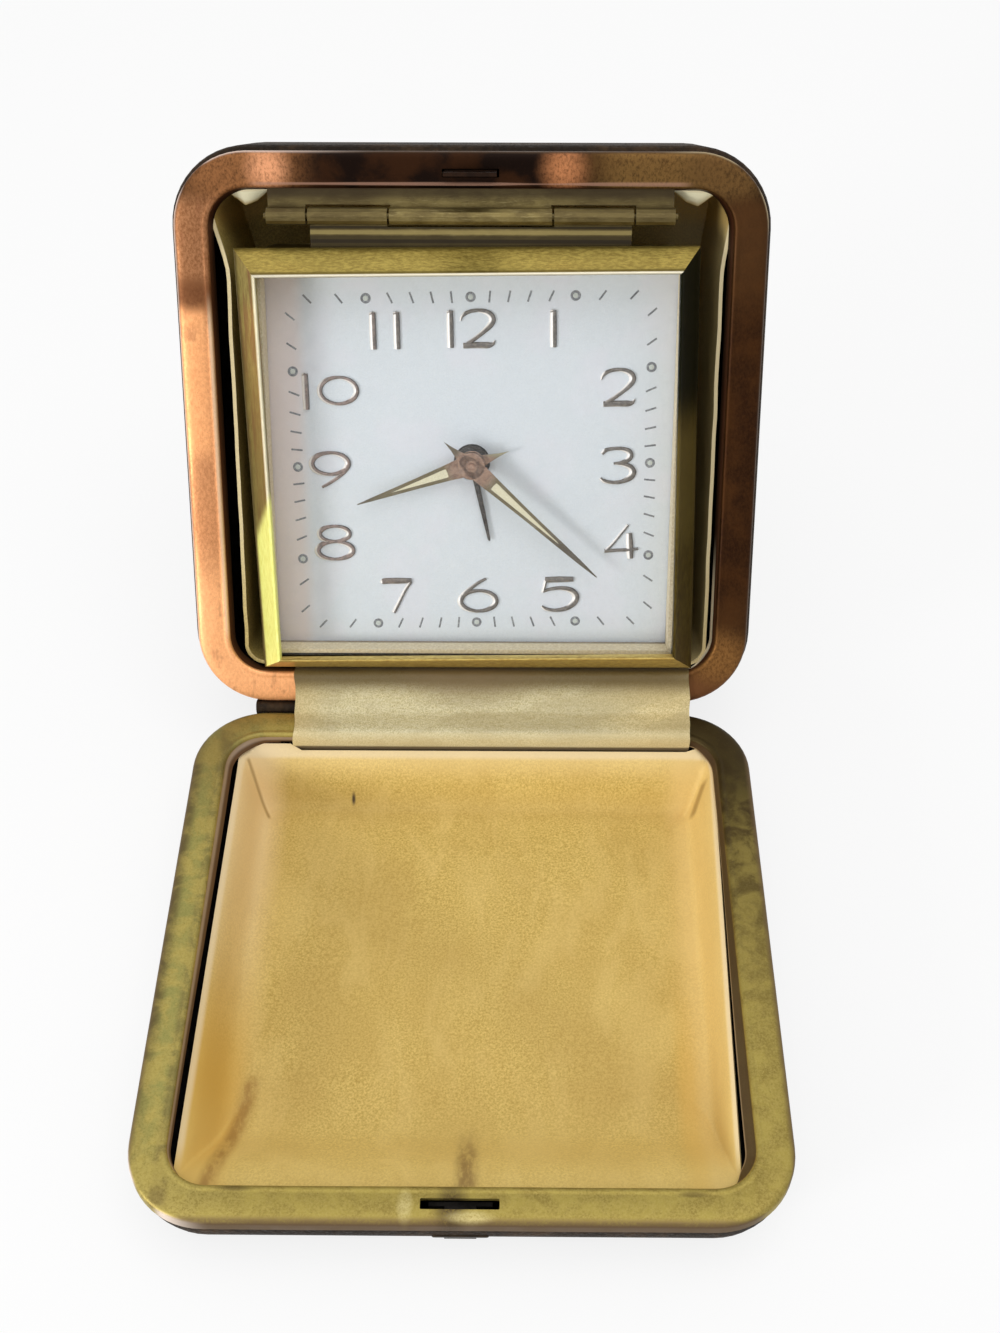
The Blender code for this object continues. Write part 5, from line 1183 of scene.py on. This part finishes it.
ONE = [[(0.06, 2.52, 0.5), (0.05, 1.2, 0.56), (0.05, -1.2, 0.56), (0.05, -2.52, 0.52)],
       [(0.1, 2.42, 0.3), (-0.34, 2.28, 0.14)]]
DIGITS = {
    "0": [oval(2.35, 1.85, 0, 0.27, 0.46, 40)],
    "1": ONE,
    "2": [[(-2.1, 1.15, 0.16), (-1.95, 1.62, 0.24), (-1.5, 2.1, 0.32), (-0.75, 2.42, 0.3),
           (0.2, 2.5, 0.3), (1.15, 2.28, 0.42), (1.78, 1.72, 0.55), (1.88, 1.05, 0.56),
           (1.5, 0.35, 0.48), (0.6, -0.55, 0.36), (-0.5, -1.45, 0.32), (-1.65, -2.3, 0.36)],
          [(-1.8, -2.28, 0.46), (-0.4, -2.22, 0.5), (1.2, -2.24, 0.52), (1.85, -2.12, 0.34),
           (2.2, -1.62, 0.12)]],
    "3": [[(-2, 1.75, 0.3), (-1.5, 2.25, 0.34), (-0.5, 2.45, 0.28), (0.6, 2.4, 0.34),
           (1.45, 2, 0.5), (1.62, 1.35, 0.54), (1.2, 0.72, 0.42), (0.3, 0.4, 0.26),
           (-0.5, 0.32, 0.2)],
          [(-0.4, 0.34, 0.2), (0.6, 0.22, 0.3), (1.6, -0.2, 0.48), (1.98, -0.95, 0.6),
           (1.6, -1.75, 0.52), (0.6, -2.3, 0.34), (-0.6, -2.42, 0.3), (-1.7, -2.2, 0.34),
           (-2.25, -1.75, 0.2)]],
    "4": [[(0.9, 2.45, 0.24), (0, 1.2, 0.26), (-1.2, -0.45, 0.26), (-2, -1.35, 0.3)],
          [(-2.15, -1.38, 0.34), (-0.5, -1.3, 0.28), (1.2, -1.22, 0.3), (2.3, -1.1, 0.24)],
          [(1.05, 1.25, 0.5), (1.12, 0, 0.6), (1.2, -1.4, 0.62), (1.25, -2.5, 0.5)]],
    "5": [[(-1.85, 2.22, 0.5), (0, 2.26, 0.54), (1.9, 2.28, 0.44)],
          [(-1.75, 2.2, 0.28), (-1.95, 1.3, 0.28), (-2.15, 0.38, 0.26)],
          [(-2.15, 0.45, 0.24), (-1.2, 0.82, 0.28), (0.2, 0.95, 0.34), (1.55, 0.6, 0.5),
           (2.2, -0.25, 0.6), (1.95, -1.25, 0.56), (0.9, -2.15, 0.4), (-0.6, -2.42, 0.3),
           (-1.8, -2.2, 0.32), (-2.35, -1.75, 0.2)]],
    "6": [oval(2.35, 1.55, -0.92, 0.28, 0.5, 36),
          [(1.1, 2.45, 0.22), (0.1, 1.85, 0.28), (-1, 1, 0.34), (-1.85, 0.15, 0.42),
           (-2.3, -0.75, 0.48)]],
    "7": [[(-1.95, 1.95, 0.4), (-1.7, 2.22, 0.52), (0, 2.26, 0.54), (1.95, 2.26, 0.44)],
          [(1.85, 2.22, 0.34), (1, 0.8, 0.3), (0.2, -0.9, 0.32), (-0.55, -2.5, 0.36)]],
    "8": [oval(1.95, 1.12, 1.35, 0.26, 0.46, 32),
          oval(2.3, 1.3, -1.12, 0.26, 0.52, 32)],
    "9": [oval(2.35, 1.55, 0.92, 0.28, 0.5, 36),
          [(2.3, 0.75, 0.48), (1.85, -0.15, 0.42), (1, -1, 0.34), (-0.1, -1.85, 0.28),
           (-1.1, -2.45, 0.22)]],
}
# Each numeral with the places of its figures
NUMERALS = [("12", ((-2.95, 19.05), (0.85, 19.05))), ("1", ((11.3, 18.95),)),
            ("2", ((20.3, 10.7),)), ("3", ((20.4, -0.35),)), ("4", ((21, -11.45),)),
            ("5", ((12.1, -19.3),)), ("6", ((0.25, -19.25),)), ("7", ((-11.5, -19.25),)),
            ("8", ((-20.3, -11.2),)), ("9", ((-20.45, -0.5),)),
            ("10", ((-23.4, 10.7), (-18.8, 10.75))), ("11", ((-13.65, 18.95), (-10.35, 18.95)))]
RIDGE = 0.34
BOLD = 1.75
WIDE = 1.1
# Section of a stroke as (side, share of the ridge), and the way its crest leans
STROKE_SECTION = ((-1, 0), (-0.86, 0.55), (-0.45, 0.92), (0, 1), (0.45, 0.92), (0.86, 0.55),
                  (1, 0))
LEAN = Vector((0.95, 0.3))
LEAN_SHARE = 0.42


def add_stroke(shape, points, place, refine=5):
    """Raised stroke with a rounded ridge, of varying width along its line."""
    line = smooth_path([(x, y) for x, y, _ in points], refine)
    widths = [a + (b - a) * k / refine for (_, _, a), (_, _, b) in zip(points, points[1:])
              for k in range(refine)] + [points[-1][2]]
    closed = (line[0] - line[-1]).length < 1e-4
    if closed:
        line, widths = line[:-1], widths[:-1]
    rings = []
    last = len(line) - 1
    for i, (point, width) in enumerate(zip(line, widths)):
        before = line[i - 1] if closed or i else line[0]
        after = line[(i + 1) % len(line)] if closed or i < last else line[-1]
        along = (after - before).normalized()
        across = Vector((-along.y, along.x)) * width / 2
        lean = LEAN_SHARE * across.normalized().dot(LEAN)
        rise = RIDGE * min(1, 0.55 + width)
        ring = []
        for side, high in STROKE_SECTION:
            at = point + across * (side + lean * (1 - side * side))
            ring.append((place[0] + at.x, place[1] + at.y, -DIAL_DROP - 0.01 + rise * high))
        rings.append(ring)
    rows = skin(shape, rings, around=closed)
    if not closed:
        shape.faces.new(rows[0])
        shape.faces.new(rows[-1])


def build_numerals():
    shape = bmesh.new()
    for text, places in NUMERALS:
        for figure, place in zip(text, places):
            wide = 1 if figure == "1" else WIDE
            for stroke in DIGITS[figure]:
                add_stroke(shape, [(x * wide, y, width * BOLD) for x, y, width in stroke], place)
    add_part("numerals", from_shape(shape), FACE, numeral_look(), 50, "clock")


# Windows and edges of the hands as (along, half width)
MINUTE_WINDOW = [(4.1, 0), (4.15, 0.62), (4.4, 0.66), (8, 0.47), (13, 0.24), (16.4, 0.1),
                 (16.8, 0)]
HOUR_WINDOW = [(3.6, 0), (3.65, 0.62), (4, 0.66), (7, 0.42), (10.5, 0.17), (12.6, 0)]
# Name, metal, low side, angle on the dial, body, outer and inner radius of the hub, edge, window
HANDS_BUILT = (
    ("minute_hand", "gilt", MINUTE_HAND_RISE, 132.8, "minute_works", 1.9, 0.62,
     [(-4.9, 0), (-3.6, 0.22), (-1.6, 0.75), (0, 1.3), (2, 1.22), (4.2, 1.06), (10, 0.72),
      (14, 0.55), (17.5, 0.42), (21, 0.25), (24, 0.03)], MINUTE_WINDOW),
    ("hour_hand", "gilt", -HOUR_HAND_DROP - HAND_SHEET, 251.1, "hour_works", 1.9, 1.32,
     [(-5.3, 0), (-4, 0.2), (-1.6, 0.75), (0, 1.4), (2, 1.32), (3.6, 1.12), (8, 0.74),
      (12, 0.44), (15, 0.22), (17.3, 0.02)], HOUR_WINDOW),
    ("alarm_hand", "dark", -ALARM_HAND_DROP - HAND_SHEET, 168.4, "alarm_pointer", 2.4, 1.76,
     [(-2.2, 0), (-1.6, 0.3), (0, 0.5), (2.6, 0.36), (7, 0.29), (11.2, 0.17), (11.6, 0.08)],
     None))
HAND_BEVEL = 0.04
LUME_LOW = 0.02
LUME_HIGH = 0.19


def hand_solid(outlines, low, high, angle):
    """Hand made of its edge and its window, with a low ridge."""
    curve = bpy.data.curves.new("hand", "CURVE")
    curve.dimensions = "2D"
    curve.fill_mode = "BOTH"
    curve.extrude = (high - low) / 2 - HAND_BEVEL
    curve.bevel_depth = HAND_BEVEL
    curve.bevel_resolution = 1
    for outline in filter(None, outlines):
        points = outline + [(a, -w) for a, w in reversed(outline) if w > 1e-6]
        spline = curve.splines.new("POLY")
        spline.points.add(len(points) - 1)
        for one, point in zip(spline.points, points):
            one.co = (*point, 0, 1)
        spline.use_cyclic_u = True
    mesh = baked(add_object("hand", curve))
    mesh.transform(Matrix.Rotation(angle, 4, "Z") @ Matrix.Translation((0, 0, (low + high) / 2)))
    return mesh


def joined(meshes):
    shape = bmesh.new()
    for mesh in meshes:
        shape.from_mesh(mesh)
    return mesh_of(shape, "joined")


def build_hands():
    gilt, lume = hand_look(), lume_look()
    for name, metal, low, clock_angle, body, outer, inner, rails, window in HANDS_BUILT:
        high = low + HAND_SHEET
        angle = (90 - clock_angle) * DEG
        ring = lofted([circle(radius, z, 40) for radius, z in (
            (outer, low), (outer, high - 0.05), (outer - 0.06, high), (inner + 0.2, high),
            (inner, high - 0.06), (inner, low))], around=True)
        material = gilt if metal == "gilt" else dark_metal_and_shade_look("alarm_hand_metal")
        add_part(name + "_" + metal, joined([hand_solid((rails, window), low, high, angle), ring]),
                 HANDS, material, 30, body,
                 name)
        if window:
            # Cream paint that fills the window, slightly crowned and set a little low
            add_part(name + "_lume", hand_solid((window,), low + LUME_LOW, low + LUME_HIGH, angle),
                     HANDS, lume, 30, body)


# Push button in the front wall of the lid: low crowned plate on its plunger
BUTTON_HALF = (3.4, 0.55)
BUTTON_HEIGHT = -4.9
BUTTON_PROUD = 0.2
BUTTON_SUNK = 0.05
BUTTON_CORNER = 0.5
PLUNGER_HALF = (1.9, 0.45)
PLUNGER_BACK = -CASE_HEIGHT + 4
LEATHER_TUCK = 0.35


def lid_front(z):
    """Place of the lid's leather front at a height below its curve's start."""
    drop = max(0, LID_EDGE - LID_DEPTH - z)
    return -CASE_HEIGHT + LEATHER_TUCK + LID_EDGE - math.sqrt(LID_EDGE ** 2 - drop ** 2)


def build_button():
    near = lid_front(BUTTON_HEIGHT) + BUTTON_SUNK
    rings = []
    for inset, out in ((0, -BUTTON_SUNK), (0, BUTTON_PROUD - 0.16), (0.06, BUTTON_PROUD - 0.07),
                       (0.16, BUTTON_PROUD - 0.02), (0.3, BUTTON_PROUD)):
        low, high = ([sign * (half - inset) for half in BUTTON_HALF] for sign in (-1, 1))
        outline = rounded_outline(low, high, max(BUTTON_CORNER - inset, 0.08), 5, 12)
        rings.append([(q.x, lid_front(BUTTON_HEIGHT + q.y) - out, BUTTON_HEIGHT + q.y)
                      for q in outline])
    plate = lofted(rings, cap_first=True, cap_last=True)
    plunger = box_mesh((-PLUNGER_HALF[0], near - 0.2, BUTTON_HEIGHT - PLUNGER_HALF[1]),
                       (PLUNGER_HALF[0], PLUNGER_BACK, BUTTON_HEIGHT + PLUNGER_HALF[1]))
    gilt = brass_look("catch_gilt", (0.016, 0.011, 0.007), (0.045, 0.03, 0.018), LID)
    add_part("push_button", joined([plate, plunger]), LID, gilt, 40, "catch",
             "catch_button")


# CAD nodes that keep their shape get finer materials

def dress(material, names):
    for name in names.split():
        mesh = nodes[name].data
        mesh.materials.clear()
        mesh.materials.append(material)


def hinge_look():
    """Aged hinge brass: dark in the shadow of the rim, with long scratches on its barrel."""
    look = Look("hinge_brass", BACK, metallic=0.7)
    cloud = look.noise(0.5, 5, 0.65, stretch=(0.5, 1, 1))
    scratch = look.noise(2.8, 4, 0.7, stretch=(0.2, 1.8, 1.8))
    look.base = look.mix(cloud(0.36, 0.64), (0.105, 0.076, 0.024), (0.2, 0.152, 0.052))
    look.paint((0.3, 0.24, 0.1), scratch(0.5, 0.68, 0, 0.55))
    side = abs(look.x)(8, 15)
    look.paint((0.06, 0.04, 0.012), side * 0.55)
    shadow = look.y(70.9, 72.2)
    look.paint((0.03, 0.018, 0.006), shadow * 0.8)
    # Painted shade over the leaf and box below the barrel.
    low = look.y(66.95, 66.6)
    look.paint((0.036, 0.025, 0.008), low * 0.85)
    # Lines below the barrel: a painted shadow line right under it, then a lighter line and a dark
    # line.
    for start, end, share, tone in (
            (67.62, 68, 0.8, (0.014, 0.009, 0.003)), (66.9, 67.45, 0.65, (0.33, 0.26, 0.095)),
            (65.75, 66.25, 0.8, (0.016, 0.01, 0.004))):
        line = look.y(start - 0.08, start + 0.08) * look.y(end + 0.08, end - 0.08)
        look.paint(tone, line * share)
    look.rough(cloud, 0.36, 0.5)
    return look.done(cloud + scratch * 0.6, 0.03, 0.4)


def dress_nodes():
    dress(hinge_look(), "upper_hinge_leaf lower_hinge_leaf hinge_rivet_left hinge_rivet_right "
                        "hinge_pin")
    for name, dark, light, finish, names in (
            ("tongue_gilt", (0.012, 0.005, 0.002), (0.03, 0.012, 0.005), (BACK,), "catch_tongue"),
            ("box_brass", (0.075, 0.052, 0.018), (0.16, 0.12, 0.042), (), "clock_box"),
            ("movement_brass", (0.36, 0.27, 0.09), (0.56, 0.45, 0.17), (),
             "front_plate back_plate minute_wheel time_barrel centre_wheel third_wheel "
             "fourth_wheel escape_wheel balance_wheel alarm_barrel alarm_escape_wheel"),
            ("key_brass", (0.34, 0.26, 0.09), (0.6, 0.49, 0.2), (),
             "time_set_knob alarm_set_knob time_winding_key alarm_winding_key "
             "alarm_stop_button"),
            ("steel_bright", (0.3, 0.3, 0.3), (0.52, 0.52, 0.53), (),
             "cover_screw_1 cover_screw_2 cover_screw_3 cover_screw_4 alarm_set_arbor "
             "pallet_lever alarm_hammer regulator_lever"),
            # The pans and the catch near black: painted shade behind the slot.
            ("pan_steel_painted_shade", (0.02, 0.018, 0.016), (0.045, 0.04, 0.036), (LID, 0.6),
             "lid_pan back_pan catch_latch catch_spring")):
        dress(brass_look(name, dark, light, *finish), names)
    dress(brushed_look("cover_brass", "X", (0.34, 0.26, 0.09), (0.52, 0.42, 0.17), 0.32)[0].done(),
          "back_cover")
    dress(hub_look(), "set_shaft")
    # The alarm and hour wheels near black: painted shade in the hole of the dial.
    dress(dark_metal_and_shade_look("dark_metal_and_shade"), "alarm_wheel hour_wheel")
    dress(dial_look(), "dial")
    dress(cream_look(), "dial_surround")
    dress(crystal_look(), "crystal")


# Stage, light and camera

FLOOR_SIZE = 3.0
FLOOR_LIFT = 0.8
WORLD_LIGHT = 0.55


def seen_rays(tree):
    """1 for the rays that show the background: camera, glossy and transmission rays."""
    rays = tree.nodes.new("ShaderNodeLightPath").outputs
    camera, glossy, sent = (Field(tree, rays["Is %s Ray" % kind])
                            for kind in ("Camera", "Glossy", "Transmission"))
    return camera | glossy | sent


def floor_look():
    """Pale floor, lifted to white where it is seen; a share of its shading keeps the shadow."""
    material = bpy.data.materials.new("floor_pale")
    material.use_nodes = True
    tree = material.node_tree
    shader = tree.nodes["Principled BSDF"]
    feed(tree, shader.inputs["Base Color"], (0.93, 0.93, 0.93))
    feed(tree, shader.inputs["Roughness"], 0.9)
    mix = new_node(tree, "MixShader", {0: seen_rays(tree) * FLOOR_LIFT,
                                       1: Field(tree, shader.outputs[0]),
                                       2: new_node(tree, "Emission", {"Strength": 1})})
    feed(tree, tree.nodes["Material Output"].inputs["Surface"], mix)
    return material


def build_stage():
    shape = bmesh.new()
    bmesh.ops.create_grid(shape, x_segments=8, y_segments=8, size=FLOOR_SIZE)
    mesh = mesh_of(shape, "floor")
    mesh.materials.append(floor_look())
    add_object("floor", mesh)


def add_area(name, at, target, size, power):
    lamp = bpy.data.lights.new(name, "AREA")
    lamp.shape = "RECTANGLE"
    lamp.size = lamp.size_y = size
    lamp.energy = power
    piece = add_object(name, lamp)
    piece.location = at
    piece.rotation_mode = "QUATERNION"
    piece.rotation_quaternion = (Vector(target) - Vector(at)).to_track_quat("-Z", "Y")


def build_light():
    world = bpy.data.worlds.new("studio")
    bpy.context.scene.world = world
    world.use_nodes = True
    tree = world.node_tree
    plain = tree.nodes["Background"]
    feed(tree, plain.inputs["Color"], (1, 1, 1))
    feed(tree, plain.inputs["Strength"], WORLD_LIGHT)
    shown = new_node(tree, "Background", {"Color": (1, 1, 1), "Strength": 1})
    mix = new_node(tree, "MixShader", {0: seen_rays(tree), 1: Field(tree, plain.outputs[0]),
                                       2: shown})
    feed(tree, tree.nodes["World Output"].inputs[0], mix)
    add_area("window", (-0.52, -0.4, 0.17), (0, 0.02, 0.04), 0.17, 2.2)
    add_area("above", (0.1, -0.15, 1), (0, 0, 0.02), 0.8, 3.6)


# Camera fitted to the photograph, in millimetres of the lid's frame
CAMERA_AT = (5.64, -153.69, 181.97)
PITCH = 48.2 * DEG
YAW = -0.57 * DEG
ROLL = -0.15 * DEG
FOCAL_PIXELS = 1612.5
IMAGE_HEIGHT = 1333.0
SENSOR = 36.0


def build_camera():
    ahead = Vector((math.sin(YAW) * math.cos(PITCH), math.cos(YAW) * math.cos(PITCH),
                    -math.sin(PITCH)))
    right = ahead.cross(Vector((0, 0, 1))).normalized()
    up = right.cross(ahead)
    across = right * math.cos(ROLL) + up * math.sin(ROLL)
    upward = up * math.cos(ROLL) - right * math.sin(ROLL)
    data = bpy.data.cameras.new("camera")
    data.sensor_fit = "AUTO"
    data.sensor_width = SENSOR
    data.lens = FOCAL_PIXELS / IMAGE_HEIGHT * SENSOR
    data.clip_start = 0.005
    data.clip_end = 20
    camera = add_object("camera", data)
    turn = Matrix((across, upward, -ahead)).transposed()
    camera.matrix_world = Matrix.Translation(LID @ Vector(CAMERA_AT)) @ turn.to_4x4()
    bpy.context.scene.camera = camera


# Half length, half height and distance from the case's edge of the catch's openings
LID_SLOT = (4.65, 0.66, 2.45)
BACK_SLIT = (3.8, 0.55, 2.75)
PLUNGER_HOLE = ((-2.3, -CASE_HEIGHT - 2, -5.5), (2.3, -CASE_HEIGHT + 6, -4.3))


def build_case():
    build_rim("rim_lid", -1, LID, rim_lid_look(),
              slot_cutter(*LID_SLOT[:2], LID_SLOT[2] - CASE_HEIGHT), "lid_rim", "lid")
    build_rim("rim_back", 1, BACK, rim_back_look(),
              slot_cutter(*BACK_SLIT[:2], CASE_HEIGHT - BACK_SLIT[2]), "back_rim", "back_half")
    build_leather("leather_lid", -1, LID, LID_DEPTH, LID_EDGE, 0, "lid_leather", "lid",
                  LEATHER_TUCK, box_mesh(*PLUNGER_HOLE))
    build_leather("leather_back", 1, BACK, -local_low("back_leather", BACK), BACK_EDGE,
                  BACK_BULGE, "back_leather", "back_half")
    build_tray()
    build_back_card()
    build_button()
    build_strip()
    build_spine()


def build_face():
    build_bezel()
    build_ticks()
    build_dots()
    build_numerals()
    build_hands()


bpy.context.scene.view_settings.view_transform = "Standard"
build_case()
build_face()
dress_nodes()
build_stage()
build_light()
build_camera()
